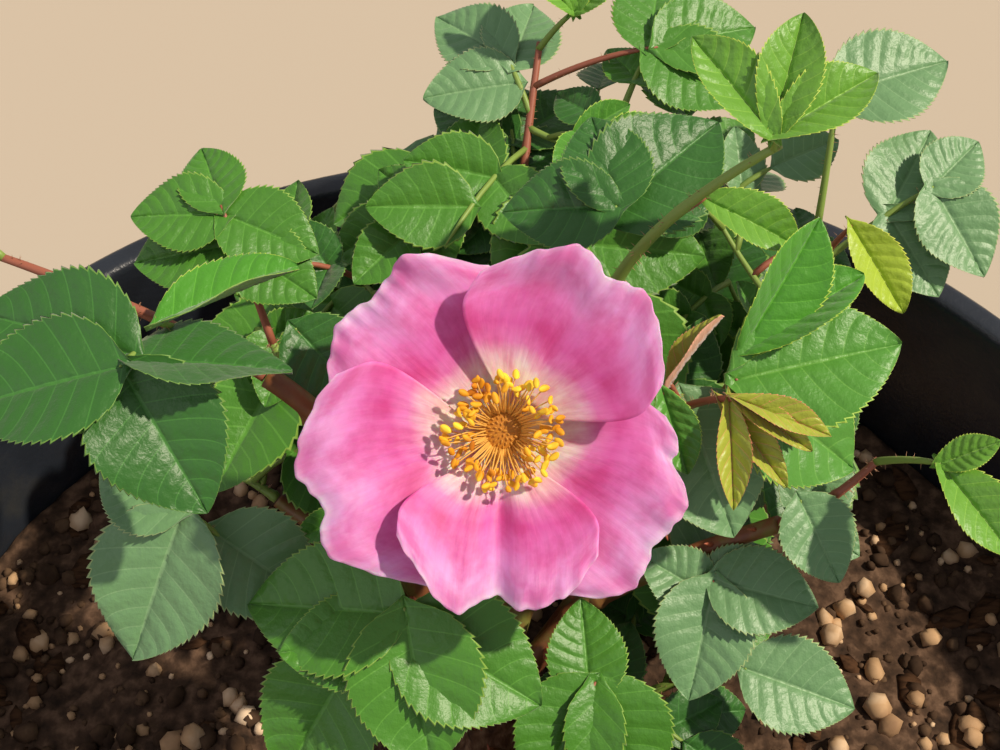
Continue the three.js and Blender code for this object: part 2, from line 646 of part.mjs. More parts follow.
function startMass([name, bough, [azimuth, rise, length], [seed, free], own]) {
  const limb = limbs[bough];
  const along = limb.curve.getTangent(1);
  const start = limb.curve.getPoint(1).addScaledVector(along, GAP);
  const finish = start.clone().addScaledVector(heading(azimuth, rise), length);
  const bend = start.clone().addScaledVector(along, length * 0.4);
  const curve = new THREE.QuadraticBezierCurve3(start, bend, finish);
  const solid = limbSolid(curve, taper(LEAF.twigRadius, LEAF.twigRadius * 0.55), 5, 3);
  const twig = name + " twig";
  const fat = limbSolid(curve, () => LEAF.twigRadius + GAP, 5, 3);
  if (!isClear(fat, bough)) console.log("a twig touches:", name);
  place(solid, twig);
  return { name, curve, seed, free, own, parts: [solid], twig };
}

function growPlaced(mass) {
  for (const row of mass.own)
    if (!tryLeaf(mass, placedLeaf(mass, row), true)) console.log("a leaflet has no room:", mass.name, row[1]);
}

function growFree(mass) {
  const random = seeded(mass.seed);
  let made = 0;
  for (let k = 0; k < FREE_TRIES && made < mass.free; k++) {
    const size = FREE.size[0] + FREE.size[1] * random();
    const plan = freeLeaf({
      base: mass.curve.getPoint(0.15 + 0.85 * random()),
      azimuth: mass.seed * 47 + k * TURN_STEP + 30 * random(),
      rise: FREE.rise[0] + FREE.rise[1] * random(),
      length: size * (FREE.stalk[0] + FREE.stalk[1] * random()),
      roll: FREE.roll * (random() - 0.5),
      size,
      droop: FREE.droop * random(),
    });
    if (tryLeaf(mass, plan, false)) made += 1;
  }
}

// Build everything in the order in which one piece has to stay clear of another
makePot();
makeSoil();
makeMainStem();
for (const [name, parent, share, end, ends] of BOUGHS)
  makeBough(name, parent, share, end, ends, BOUGH_RADII[name.split("_")[0]]);

const stalkEnd = new THREE.Vector3(0, 0, -BLOOM.hipLength - GAP).applyMatrix4(bloomFrame);
makeBough("cane_bloom", "main_stem", 0.9, stalkEnd.toArray(), [270, 90 - BLOOM.tilt], BOUGH_RADII.bloom);

addNode("hip_and_sepals", calyxSolid(), "calyx");
addNode("stamens", stamenSolid(), "stamen");
for (const petal of PETALS) addNode(petal[0], petalSolid(petal), "petal");

for (const { geometry, name } of bush.children)
  if (name !== "pot" && name !== "soil") place(solidOf(geometry), name);

const masses = MASSES.map(startMass);
masses.forEach(growPlaced);
masses.forEach(growFree);
for (const mass of masses) addNode(mass.name, mainBody(wasm.Manifold.union(mass.parts)), "leaf");

export default bush;
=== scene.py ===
# A potted rose bush: a young single-flowered shrub rose in a round plastic nursery pot.
# The pot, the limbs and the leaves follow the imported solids. Sizes below are millimetres.
import json
import math

import bmesh
import bpy
import numpy as np
from mathutils import Matrix, Quaternion, Vector
from mathutils.bvhtree import BVHTree

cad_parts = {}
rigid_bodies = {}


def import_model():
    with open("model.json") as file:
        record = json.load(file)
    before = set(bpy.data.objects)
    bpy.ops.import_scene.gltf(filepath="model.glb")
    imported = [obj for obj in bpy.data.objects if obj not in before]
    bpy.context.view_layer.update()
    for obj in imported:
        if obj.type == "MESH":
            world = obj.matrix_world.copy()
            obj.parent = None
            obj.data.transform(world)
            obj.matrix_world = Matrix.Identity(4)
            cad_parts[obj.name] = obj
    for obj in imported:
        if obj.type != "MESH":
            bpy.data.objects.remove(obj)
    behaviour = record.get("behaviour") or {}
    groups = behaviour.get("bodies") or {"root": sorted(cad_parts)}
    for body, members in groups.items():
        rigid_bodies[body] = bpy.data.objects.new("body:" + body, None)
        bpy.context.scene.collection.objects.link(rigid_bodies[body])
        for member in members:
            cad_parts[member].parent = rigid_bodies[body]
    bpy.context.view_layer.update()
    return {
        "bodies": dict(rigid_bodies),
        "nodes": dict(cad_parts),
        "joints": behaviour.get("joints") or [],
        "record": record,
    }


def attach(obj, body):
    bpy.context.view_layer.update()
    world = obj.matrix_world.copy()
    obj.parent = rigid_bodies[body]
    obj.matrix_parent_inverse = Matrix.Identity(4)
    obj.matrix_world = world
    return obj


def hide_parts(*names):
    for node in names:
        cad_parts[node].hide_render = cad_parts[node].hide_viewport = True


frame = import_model()

MM = 0.001
GAP = 0.3

# Camera: it looks along +Y and down on the bloom, as the photo does
VIEW = {"down": 54, "place": (-0.5, -96.3, 481.6), "lens": 50.4, "sensor": 36, "pixels": (1000, 750)}

# Light in metres: a high sun from the right, a soft lamp on the other side and a pale sky
LIGHT = {
    "middle": (0, 0.03, 0.28), "distance": 1.6, "sky": 0.42, "sky_tint": 0xE6E6EE,
    "sun": {"towards": (0.62, -0.05, 0.78), "strength": 4.3, "angle": 1.6, "tint": 0xFFF1DC},
    "fill": {"towards": (-0.6, -0.5, 0.62), "strength": 4, "size": 1.4, "tint": 0xF2E8F4},
}

# The pot and its compost
POT = {
    "height": 235, "rim_radius": 150, "rim_drop": 24, "rim_step": 4, "rim_width": 6.6, "foot_radius": 117,
    "wall": 2.6, "floor": 3.2, "holes": 8, "hole_radius": 6, "hole_circle": 84, "facets": 192,
}
# How round each corner of its profile is, from the foot up the outside and down the inside
POT_CORNERS = (2, 1.2, 1.6, 2.4, 2.4, 1.5, 2.5)
# The compost: its level, its dome, how far its waves start below it, how far it keeps off the wall, its
# mesh, its finest grain and the ring round the stem where its waves begin
SOIL = {
    "level": 190, "dome": 4, "sunk": 0.6, "off_wall": 0.7, "rings": 110, "facets": 220, "grain": 0.32,
    "calm": (8, 12),
}
# Waves of the compost: size, compass angle, phase and height
SOIL_WAVES = [
    [61, 20, 0.4, 0.9], [43, 75, 1.9, 0.8], [29, 130, 3.1, 0.6], [17, 10, 5.2, 0.45], [13, 100, 0.9, 0.4],
    [8, 55, 2.2, 0.3], [7, 150, 4.4, 0.3],
]
# What lies on the compost: its look, how many, the least and greatest size, how flat and how long each is
CRUMBS = {
    "crumbs": ["crumb", 1950, 1.3, 5.4, 0.8, 1.2],
    "grit": ["grit", 1150, 1.3, 6.6, 0.8, 1.1],
    "bark_chips": ["bark_chip", 330, 3, 7, 0.3, 2.0],
}
PEBBLE = {"rows": 4, "columns": 6, "rough": 0.22, "pole": 0.48}

# The woody parts. Each bough: its name and parent, where on the parent it starts, its end, and the compass
# angle and rise with which it arrives there
STEM = {"foot": (0, 12), "lean": (-2, 5), "height": 34, "flare": 13, "waist": 7.2, "top": 6.4}
BOUGHS = [
    ["cane_left", "main_stem", 0.8, [-38, 36, 299], [155, 20]],
    ["cane_front", "main_stem", 0.62, [-17, 4, 252], [200, 55]],
    ["cane_front_right", "main_stem", 0.5, [27, 14, 222], [15, 35]],
    ["cane_right", "main_stem", 0.82, [41, 38, 272], [340, 62]],
    ["cane_upper", "main_stem", 0.95, [17, 50, 300], [40, 72]],
    ["cane_back_right", "main_stem", 0.66, [48, 62, 270], [40, 50]],
    ["cane_back", "main_stem", 0.8, [2, 84, 262], [85, 40]],
    ["side_left_back", "cane_left", 0.42, [-38, 48, 286], [120, 35]],
    ["side_left_low", "cane_left", 0.3, [-34, 20, 256], [180, 45]],
    ["side_far_left", "cane_left", 0.2, [-46, 52, 234], [150, 25]],
    ["side_front_low", "cane_front_right", 0.4, [11, 1, 228], [290, 45]],
    ["cane_near", "main_stem", 0.42, [-4, -24, 236], [265, 45]],
    ["side_near_left", "cane_near", 0.45, [-32, -18, 232], [205, 35]],
    ["side_near_right", "cane_near", 0.6, [26, -26, 232], [325, 35]],
    ["side_right_low", "cane_right", 0.35, [51, 33, 257], [350, 45]],
    ["side_right_near", "cane_right", 0.55, [22, 34, 284], [345, 60]],
    ["side_back_mid", "cane_upper", 0.55, [9, 56, 286], [80, 60]],
    ["side_far_right", "cane_back_right", 0.45, [54, 74, 238], [40, 20]],
    ["side_back_left", "cane_back", 0.5, [-20, 84, 246], [125, 35]],
    ["side_back_low", "cane_back", 0.34, [22, 82, 230], [70, 15]],
]
BOUGH_KINDS = {
    "cane": {"radii": (2.7, 1.75), "knots": 4, "prickles": 12},
    "side": {"radii": (2.1, 1.6), "knots": 3, "prickles": 7},
    "bloom": {"radii": (2.5, 1.3), "knots": 0, "bristles": 150},
}
# How a bough leaves its parent, outward and upward, and how stiffly it starts and ends
BOUGH_BEND = {"out": 0.75, "up": 0.66, "start": 0.38, "end": 0.32}
# Prickles and bristles: their first share of the limb and the span, their size and its spread, how deep
# they sit, how far they hook back and bow out and how thick they are beside their size. Then how thin the
# tip of any spike is beside its root, and its rings
PRICKLES = {
    "place": (0.2, 0.76), "size": (1.6, 3.0), "sunk": 0.8, "hook": 0.35, "radius": 0.26, "bend": 0.15,
}
BRISTLES = {"place": (0.1, 0.9), "size": 1.5, "spread": (0.6, 1.2), "sunk": 0.9, "radius": 0.08}
SPIKE = {"tip": 0.12, "rings": 4}
# Sides and rings of the tubes that limbs, twigs and stalks are drawn as
TUBES = {
    "stem": (72, 70), "bough": (18, 70), "twig": (12, 24), "finer": (6, 8),
    "placed": (8, 12), "free": (5, 6), "filament": (5, 7), "drill": (32, 3),
}

# The bloom. Each petal: the compass angle on the face, length and half width as shares of a full petal,
# how many layers it lies up, whether its two sides are lifted (1) or tucked under (-1), anticlockwise side
# first, how deep its notch is, how much its rim ruffles, how deep the crease along its middle is, and the
# part of its rim that curls up: where across it, how wide, how high, and how far it draws in.
BLOOM = {
    "centre": (0, 25, 300), "tilt": 36, "petal_length": 30, "claw_radius": 4.2, "claw_half_width": 3.1,
    "petal_thick": 0.3, "bowl": 7.5, "layer": 1.1, "lift": 2.2, "hip_length": 13, "sepal_length": 17,
}
PETALS = [
    ["petal_upper_right", 57, 1.02, 0.53, 2, [1, 1], 0.05, 0.6, 0.3, [-0.35, 0.6, 3.0, 0.8]],
    ["petal_upper_left", 138, 1.0, 0.58, 0, [-1, -1], 0.05, 0.8, 0.2, [0.62, 0.22, 4.6, -1.6]],
    ["petal_left", 202, 1.08, 0.58, 1, [-1, 1], 0.07, 0.7, 0.3, [-0.6, 0.3, 1.2, 0.5]],
    ["petal_lower", 267, 0.94, 0.5, 2, [1, 1], 0.12, 0.6, 1.7, [0.8, 0.4, 1.6, 0.6]],
    ["petal_right", 323, 1.04, 0.56, 0, [-1, -1], 0.08, 0.8, 0.3, [-0.7, 0.1, -0.5, 3.4]],
]
PETAL_GRID = {"columns": 73, "rows": 61}
# Small waves of a petal's rim, as shares of its length: depth, pace and how the petal's angle shifts it
RIM_WAVES = [[0.016, 5.3, 1], [0.011, 9.7, 2], [0.006, 23, 3], [0.004, 43, 5]]
# Relief of a petal: height, then pace or width across it
CREASE = (1.1, 0.16)
PLEATS = (0.034, 64)
FRILL = (0.24, 31)
CURL = 0.9
RUFFLE = 0.8
# Stamens: the ring of their tips, the place and height of each foot, the bend as shares of the tip's place,
# the sway of the filament and its radii, the least and greatest anther and how it turns and tilts
STAMENS = {
    "count": 120, "inner": 4.6, "outer": 9.0, "low": 4.4, "high": 7.8, "foot": (2.6, 1.8),
    "bend": (0.62, 0.92), "sway": 0.7, "radii": (0.17, 0.1), "anther": (0.68, 0.98), "turn": 0.9,
    "tilt": 0.35, "above": 0.15,
}
# An anther: a bean with a waist, its breadth and depth beside its half length, and how much it bends
ANTHER = {"rows": 7, "columns": 8, "waist": 0.25, "broad": 0.62, "deep": 0.5, "bend": 0.22}
# The disc in the middle: its profile, its stigmas and the throat of the bloom under it
DISC = [(0.01, 2.7), (0.9, 2.7), (1.8, 2.6), (2.7, 2.4), (3.4, 2.1), (3.9, 1.5), (3.8, 0.1), (0.01, 0.05)]
STIGMAS = {"count": 60, "reach": 3.2, "turn": 2.39996, "size": (0.2, 0.34), "height": 2.9, "dome": 0.05}
THROAT = {"reach": (3.7, 9), "steps": 8, "below": (0.4, 0.6)}
# The hip and calyx: rows of radius and share of the hip's length, then the rim in millimetres
HIP = [(0.01, 1), (1.4, 1), (1.8, 0.93), (2.3, 0.84), (3.2, 0.72), (3.7, 0.6), (3.75, 0.5), (3.5, 0.38),
       (2.9, 0.26), (2.8, 0.2), (3.6, 0.12)]
CALYX_RIM = [(4.6, -1), (5, -0.5), (4.6, -0.3), (0.01, -0.3)]
GLANDS = {"count": 150, "rows": (2, 10), "length": (0.9, 1.6)}
SEPALS = {"turn": 34, "foot": (2.4, 0, -1.1), "droop": 4}

# Leaves. Each kind of leaflet: its half width over its length, how far its halves fold up in degrees, its
# curl, and how far back its widest part lies
LEAF = {"stalk_radius": 0.75, "twig_radius": 1.5, "sink": 2, "facing": (0, -0.35, 0.94), "thick": 0.3}
SEPAL = {"width": 0.14, "fold": 0, "curl": 0, "shape": 0.8}
KINDS = {
    "mature": {"width": 0.39, "fold": 10, "curl": 0.08, "shape": 0.86},
    "young": {"width": 0.3, "fold": 30, "curl": 0.06, "shape": 1.2},
    "bronze": {"width": 0.25, "fold": 42, "curl": 0.1, "shape": 1.15},
}
# The crown that finer leaves keep inside, as two ovals of the plan. The back one slants up from its foot in
# front and falls off round its peak, and the near one slants down from its top.
CROWN = {
    "back": {"middle": (2, 60), "reach": (74, 74), "foot": 225, "slope": 0.75, "peak": (30, 75, 352)},
    "near": {"middle": (0, -28), "reach": (60, 50), "top": 262, "slope": 1.1},
}

# Masses of leaves. Each grows from the end of its bough on one twig: the compass angle, rise and length of
# the twig, the seed of its free leaves and how many it carries, and the leaves that have a place of their
# own, each as [share of the twig, end of the stalk, kind, leaflets], and each leaflet as
# [how far back along the stalk, compass angle, rise, length, roll].
MASSES = [
    ["leaves_left_near", "cane_left", [158, 10, 50], [11, 1], [
        [0.36, [-57, 27, 314], "mature", [
            [0, 306, -32, 26, 0], [0, 192, -5, 26, 10], [2.6, 4, -5, 25, -48], [4.2, 165, 7, 26, 0],
        ]],
        [0.3, [-53, 36, 313], "young", [[0, 29, 5, 24, -40]]],
        [0.96, [-92, 60, 312], "young", [[0, 185, 10, 15, 0], [5, 230, 5, 13, 0], [5, 120, 10, 13, 0]]],
    ]],
    ["leaves_left_back", "side_left_back", [142, 14, 38], [12, 3], [
        [0.12, [-48, 67, 306], "mature", [
            [0, 111, 9, 14, 0], [2, 179, 0, 17, 0], [2, 339, -8, 18, 0], [8, 185, -7, 19, 0],
            [8.5, 328, -9, 17, 0],
        ]],
        [0.04, [-34, 45, 300], "mature", [[0, 320, -25, 17, 0]]],
    ]],
    ["leaves_left_low", "side_left_low", [170, 25, 24], [13, 3], [
        [0.55, [-53, 22, 281], "mature", [[0, 242, -40, 29, 0], [0, 154, 2, 18, 0], [9, 334, -29, 23, 0]]],
    ]],
    ["leaves_front", "cane_front", [235, 60, 20], [14, 2], [
        [0.35, [-16, 7, 275], "mature", [
            [0, 281, -35, 28, 0], [1.7, 172, -7, 28, 0], [4, 335, -19, 28, 0], [8, 191, 6, 20, 0],
        ]],
        [0.7, [-25, 2, 266], "mature", [[0, 228, -42, 27, 0]]],
    ]],
    ["leaves_front_low", "side_front_low", [275, 25, 26], [15, 3], [
        [0.08, [17, 9, 241], "mature", [
            [0, 238, -25, 25, 0], [0, 297, -28, 25, 0], [3, 95, 28, 18, 0],
        ]],
    ]],
    ["leaves_near", "cane_near", [268, 30, 30], [31, 4], []],
    ["leaves_near_left", "side_near_left", [215, 25, 22], [32, 4], []],
    ["leaves_near_right", "side_near_right", [325, 25, 24], [33, 4], []],
    ["leaves_front_right", "cane_front_right", [5, 32, 27], [16, 2], [
        [0.3, [39, 25, 250], "mature", [
            [0, 256, -28, 23, 0], [0, 343, 3, 20, 0], [5, 20, 23, 17, 0], [4, 153, 17, 15, 0],
        ]],
        [0.75, [45, 12, 240], "mature", [[0, 342, -7, 22, 0]]],
    ]],
    ["leaves_right_near", "side_right_near", [350, 55, 16], [17, 0], [
        [0.4, [29, 34, 297], "mature", [[0, 297, -37, 26, 0]]],
        [0.9, [36, 26, 307], "bronze", [
            [0, 343, -11, 16, 0], [1.6, 330, -14, 15, 0], [5.7, 313, -24, 18, 0], [3, 274, -35, 18, 0],
        ]],
        [0.7, [25, 30, 303], "young", [[0, 291, -34, 14, 0]]],
        [0.8, [26, 32, 303], "bronze", [[0, 46, 46, 14, -60]]],
    ]],
    ["leaves_right_fold", "cane_right", [80, 62, 34], [18, 1], [
        [0.55, [37, 34, 301], "mature", [[0, 10, 9, 28, 0], [0, 341, -32, 28, 0]]],
        [0.8, [38, 38, 303], "young", [[0, 49, 39, 25, 35], [0, 28, 20, 24, -20]]],
    ]],
    ["leaves_right_low", "side_right_low", [12, 48, 22], [19, 2], [
        [1, [73, 29, 284], "young", [[0, 3, 37, 11, 0], [0, 304, -11, 20, 0]]],
        [0.2, [53, 32, 267], "mature", [[0, 301, -31, 17, 0], [8, 330, -14, 14, 0], [9, 50, 29, 16, 0]]],
    ]],
    ["leaves_upper_right", "cane_upper", [5, 56, 41], [20, 0], [
        [1, [39, 51, 338], "young", [[0, 136, 30, 19, 0], [0, 72, 38, 19, 0], [0, 28, 16, 19, 0]]],
        [0.45, [33, 61, 314], "young", [[0, 336, -12, 18, 0]]],
    ]],
    ["leaves_back_right", "cane_back_right", [60, 40, 30], [21, 2], [
        [0.55, [77, 78, 299], "mature", [
            [0, 302, -24, 19, 0], [0, 44, 13, 14, 0], [10, 304, -23, 18, 0], [10, 59, 19, 20, 0],
        ]],
        [0.9, [60, 92, 308], "mature", [[0, 19, 7, 23, 0]]],
        [0.4, [60, 66, 302], "young", [[0, 303, -24, 18, 0]]],
    ]],
    ["leaves_back_mid", "side_back_mid", [62, 52, 28], [22, 2], [
        [0.5, [19, 64, 309], "mature", [[0, 177, -5, 20, 0], [0, 102, 15, 19, 0], [3.9, 40, 15, 28, 0]]],
    ]],
    ["leaves_back_top", "cane_back", [82, 38, 50], [23, 5], [
        [0.98, [14, 122, 302], "young", [[0, 80, 50, 18, 0], [0, 150, 40, 15, 0], [0, 20, 40, 15, 0]]],
        [0.75, [1, 122, 290], "mature", [[0, 140, 5, 20, 0], [2, 75, 5, 20, 0], [6, 190, 0, 20, 0]]],
        [0.85, [30, 114, 300], "mature", [[0, 20, 0, 22, 0], [2, 330, -10, 22, 0], [2, 80, 10, 20, 0]]],
    ]],
    ["leaves_back_left", "side_back_left", [130, 25, 34], [24, 4], []],
    ["leaves_back_low", "side_back_low", [72, 15, 34], [25, 4], []],
    ["leaves_far_left", "side_far_left", [160, 20, 26], [26, 4], []],
    ["leaves_far_right", "side_far_right", [40, 25, 26], [27, 4], []],
]
# How many free leaves are tried on a twig, and how far each turns from the one before
FREE_TRIES = 60
TURN_STEP = 137.5
# How leaves that have no place of their own are drawn on a mass's twig, as the part's source does, and on a
# finer one: least value and span of their size, place, rise and length beside the size, how the seed turns
# them, their roll and droop, and the chance that one is mature
RULES = {
    "free": {"size": (22, 6), "place": (0.15, 0.85), "rise": (5, 30), "length": (1.15, 0.3), "step": 47,
             "roll": 30, "droop": 0.25, "mature": 1},
    "finer": {"size": (12, 9), "place": (0.25, 0.75), "rise": (5, 35), "length": (1.2, 0.4), "step": 29,
              "roll": 36, "droop": 0.3, "mature": 0.86},
}
# Such a leaf: how much steeper its stalk leaves the twig, the reach of its pairs down the stalk, how widely
# they spread and how small they are, each with its change from pair to pair
PINNATE = {"arch": 18, "reach": 0.62, "spread": (50, 7), "size": (0.97, 0.09)}

# Finer growth in each mass: where on its twig and on its bough a finer twig starts, that twig's length and
# radius, how many leaves each tries to carry, how far a leaf keeps from others, how far into the
# crown it keeps, and how many leaflets, or what share of them, must have room
FINER = {
    "shares": (0.1, 0.22, 0.34, 0.46, 0.58, 0.7, 0.82, 0.94), "length": 27, "radius": 0.8, "tries": 18,
    "bough_shares": (0.4, 0.5, 0.6, 0.7, 0.8, 0.9), "bough_seed": 500, "clear": 1.7, "crown": 0.97,
    "least_kept": (2, 0.6),
}
# How far finer leaves keep off the compost, the pot's wall and rim, and the cone in front of the bloom
KEEP_OFF = {"soil": 6, "wall": 6, "rim": 4, "behind_bloom": 6, "bloom": 42, "cone": 0.4}
# What the photo shows open: boxes of its pixels where no finer leaf may grow. Then the margins in pixels,
# round a box and round the whole photo
OPEN_TO_VIEW = [
    (0, 0, 365, 140), (0, 0, 115, 240), (0, 430, 235, 750), (0, 640, 330, 750), (880, 300, 1000, 750),
    (815, 545, 1000, 750),
]
OPEN_MARGIN = 12
VIEW_MARGIN = 40
# Points of a leaflet as shares of its length and of its half width: a few on its axis and sides, or many
TOUCH = ((0.5, 0.25, 0.25, 0.75, 0.75, 1), (0, 1, -1, 1, -1, 0))
DENSE = ((0.1, 0.28, 0.46, 0.64, 0.82, 1), (-0.9, -0.45, 0, 0.45, 0.9))

# Leaflets. Detail: veins a side, rows between two veins as [share, tooth], columns from the midrib to the
# margin, and columns of the underside
DETAIL = {
    "placed": {
        "veins": 8,
        "between": [
            [0.06, 0.15], [0.2, 0.6], [0.33, 0.95], [0.39, 0.15], [0.53, 0.55], [0.66, 0.9], [0.72, 0.15],
        ],
        "columns": [0, 0.03, 0.1, 0.2, 0.32, 0.45, 0.58, 0.71, 0.83, 0.91, 0.965, 1],
        "under": [0.92, 0.77, 0.55, 0.28, 0],
    },
    "free": {
        "veins": 7, "between": [[0.1, 0.1], [0.5, 0.9], [0.6, 0.1]],
        "columns": [0, 0.05, 0.45, 0.94, 1], "under": [0.8, 0],
    },
}
# The outline of a leaflet: how blunt its ends are, and where and how sharply its root begins
OUTLINE = {"blunt": 0.78, "root": 0.14, "sharp": 0.35}
# Relief of a leaflet: its teeth, how far its veins sweep forward, its quilting and the cells in it, the
# groove of its midrib and the waves of its margin
RELIEF = {"tooth": 0.1, "shear": 0.2, "quilt": 0.42, "cell": 0.13, "groove": 0.3, "wave": 0.022}
# How far the paired leaflets of a leaf roll over one another, in degrees
SHINGLE = 12
# How far the last leaflet of a leaf lies above its pairs
LAYER = 0.6
# Leaflets with a place of their own that lie lower than the rest, by mass, leaf and leaflet
LOWERED = {("leaves_left_near", 0, 0): 1.3, ("leaves_upper_right", 0, 1): 0.5}
# How much shorter a leaflet is drawn than its solid
SHORTER = 0.6
# How wide a leaflet of each kind is drawn beside its solid
SLENDER = {"mature": 1.0, "young": 0.8, "bronze": 0.56}
# Hairs of stalks and twigs
HAIRS = {"stalk": 14, "radius": 0.07, "length": (0.4, 0.9), "twig": 60, "twig_length": 1.1}

# Colours of foliage: blade, margin, vein and underside, dealt out leaf by leaf
TINTS = {
    "dark": (0x2C621C, 0x669036, 0x3B7628, 0x70895A),
    "mid": (0x447E1E, 0x7CA438, 0x54902C, 0x7FA060),
    "glaucous": (0x66905E, 0x98B070, 0x779E6C, 0x98B08A),
    "fresh": (0x4C8A2A, 0x9CC044, 0x5F9A38, 0x8BAC60),
    "young": (0x62982A, 0xAEC644, 0x79AA38, 0x9ABC5C),
    "folded": (0x468C1C, 0xA4C43C, 0x58A02A, 0x86AC50),
    "lime": (0x9AB42C, 0xC8D24A, 0xA8C038, 0xB4C266),
    "bronze": (0x9CA632, 0xD4825C, 0xC2925A, 0xD0987C),
}
# Roughness of each of these four, and the sheen of all
LEAF_ROUGH = {"blade": 0.42, "margin": 0.5, "vein": 0.45, "back": 0.65}
LEAF_SHEEN = 0.22
# The tints that leaves of each kind are dealt. Every other tint deals itself.
DEALT = {
    "mature": ["dark", "mid", "glaucous", "mid", "dark", "mid"], "young": ["young", "fresh", "young"],
    "bright": ["young"],
}
# Leaves that have a colour of their own, by their mass and their number in it
OWN_TINTS = {
    "leaves_left_near": {0: "dark", 1: "folded", 2: "lime"}, "leaves_left_low": {0: "glaucous"},
    "leaves_front": {0: "mid", 1: "mid"}, "leaves_front_right": {0: "glaucous"},
    "leaves_right_near": {0: "glaucous", 2: "young"}, "leaves_right_fold": {0: "fresh", 1: "folded"},
    "leaves_right_low": {0: "bright", 1: "glaucous"}, "leaves_upper_right": {0: "bright", 1: "bright"},
    "leaves_back_right": {0: "glaucous", 1: "glaucous", 2: "lime"},
}
# The share of leaf stalks that are red
RED_STALKS = 0.25

# Looks that follow a noise: stops of colour, its scale, roughness, bump in metres, specular and stretch
MOTTLED = {
    "compost": ([(0.3, 0x2A2019), (0.5, 0x4A382B), (0.68, 0x6E5644)], 260, 0.95, 0.0006, 0.15),
    "crumb": ([(0.3, 0x241A14), (0.5, 0x4C3A2C), (0.65, 0x6B543F)], 90, 0.95, 0, 0.1),
    "grit": ([(0.3, 0x8E6E50), (0.5, 0xBE9A72), (0.66, 0xDEC4A4)], 60, 0.8, 0, 0.3),
    "bark_chip": ([(0.3, 0x24170F), (0.6, 0x4E3624)], 220, 0.9, 0, 0.1, (1, 4, 4)),
    "bark": ([(0.3, 0x3A2A20), (0.52, 0x6B4C36), (0.7, 0x94765A)], 420, 0.85, 0.0007, 0.2, (1, 1, 0.25)),
    "cane_bark": ([(0.3, 0x6B3B2A), (0.5, 0x84522F), (0.68, 0x7C7A3A)], 150, 0.5, 0.0002, 0.5, (1, 1, 0.5)),
    "flower_stalk": ([(0.3, 0x6E8A3C), (0.55, 0x86994A), (0.7, 0x96603F)], 120, 0.5, 0.0001, 0.5),
    "anther": ([(0.35, 0xC0700F), (0.48, 0xE8A41C), (0.62, 0xF8D43A)], 120, 0.6, 0, 0.3),
    "calyx": ([(0.3, 0x55762E), (0.6, 0x83A04A)], 260, 0.55, 0.0002),
}
# Looks of one colour, with their roughness
PLAIN = {
    "prickle": (0xA6573A, 0.45), "bristle": (0xB06A52, 0.5), "filament": (0xE2AE52, 0.5),
    "disc": (0xB87618, 0.5), "stigma": (0xBC7E1C, 0.55), "throat": (0xE9E2C6, 0.6),
    "sepal_back": (0x93AC66, 0.6), "gland_hair": (0xA55E48, 0.5), "leaf_stalk": (0x7F9A45, 0.5),
    "red_stalk": (0x9A5A44, 0.5), "hair": (0xB98A6A, 0.5), "floor": (0xB9AC9A, 0.85, 0.1),
}
# The pot's plastic: its dust as stops of colour and a scale, and its grain as a scale and a bump in metres
PLASTIC = {
    "skin": (0x22262D, 0.3, 0.6), "dust": [(0.35, 0x1A1D22), (0.6, 0x252A32), (0.78, 0x3A3A38)],
    "dust_scale": 38, "grain": (900, 0.00012),
}
# Petals: colours along them from the claw to the rim, of their veins and of their deeper patches, how far
# the veins shift the first, how strongly the other two tell, their stretch and the bump of the veins
PETAL_TONES = {
    # Deep band past the cream (0.36 to 0.47): partly the petal's own deeper pink, partly painted stamen
    # shadow
    "along": [(0.12, 0xF0EACE), (0.25, 0xEEDAD6), (0.36, 0xE080BC), (0.47, 0xD860AC), (0.64, 0xDE7CC0),
              (0.82, 0xE69CD2), (0.95, 0xEAA0D2), (1.0, 0xF4BCDE)],
    "veins": [(0.42, 0xFFFFFF), (0.62, 0xEEBBD8)],
    "patches": [(0.4, 0xFFFFFF), (0.62, 0xDC64AC)],
    "shift": 0.03, "shares": (0.2, 0.6), "stretch": ((64, 5, 1), (5, 3.4, 1)), "bump": (0.00012, 0.4),
}
PETAL_SKIN = {
    "Subsurface Weight": 0.8, "Subsurface Radius": (1.0, 0.22, 0.6), "Subsurface Scale": 0.0008,
    "Sheen Weight": 0.15,
}


# Directions, curves and chance

def heading(azimuth, rise):
    a, r = math.radians(azimuth), math.radians(rise)
    return np.array([math.cos(a) * math.cos(r), math.sin(a) * math.cos(r), math.sin(r)])


def unit(vector):
    return vector / np.linalg.norm(vector)


def turned(vector, axis, degrees):
    """The vector turned about an axis by the right-hand rule."""
    a = math.radians(degrees)
    along = axis * np.dot(axis, vector) * (1 - math.cos(a))
    return vector * math.cos(a) + np.cross(axis, vector) * math.sin(a) + along


def smooth(t):
    t = np.clip(t, 0, 1)
    return t * t * (3 - 2 * t)


def bezier(points, t):
    """Points on a Bezier curve at the shares t."""
    t = np.atleast_1d(np.asarray(t, float))[:, None]
    rows = [np.asarray(p, float)[None, :] for p in points]
    while len(rows) > 1:
        rows = [a * (1 - t) + b * t for a, b in zip(rows, rows[1:])]
    return rows[0]


def bezier_direction(points, t):
    steps = [np.asarray(b, float) - np.asarray(a, float) for a, b in zip(points, points[1:])]
    ahead = bezier(steps, t)
    return ahead / np.linalg.norm(ahead, axis=1)[:, None]


def seeded(seed):
    """Numbers from 0 to 1, the same as the part's source draws."""
    whole = 0xFFFFFFFF
    state = seed & whole

    def draw():
        nonlocal state
        state = (state + 0x6D2B79F5) & whole
        t = state
        t = ((t ^ (t >> 15)) * (t | 1)) & whole
        t ^= (t + (((t ^ (t >> 7)) * (t | 61)) & whole)) & whole
        return ((t ^ (t >> 14)) & whole) / 4294967296

    return draw


# Pieces: parts are gathered as arrays, then made into one mesh

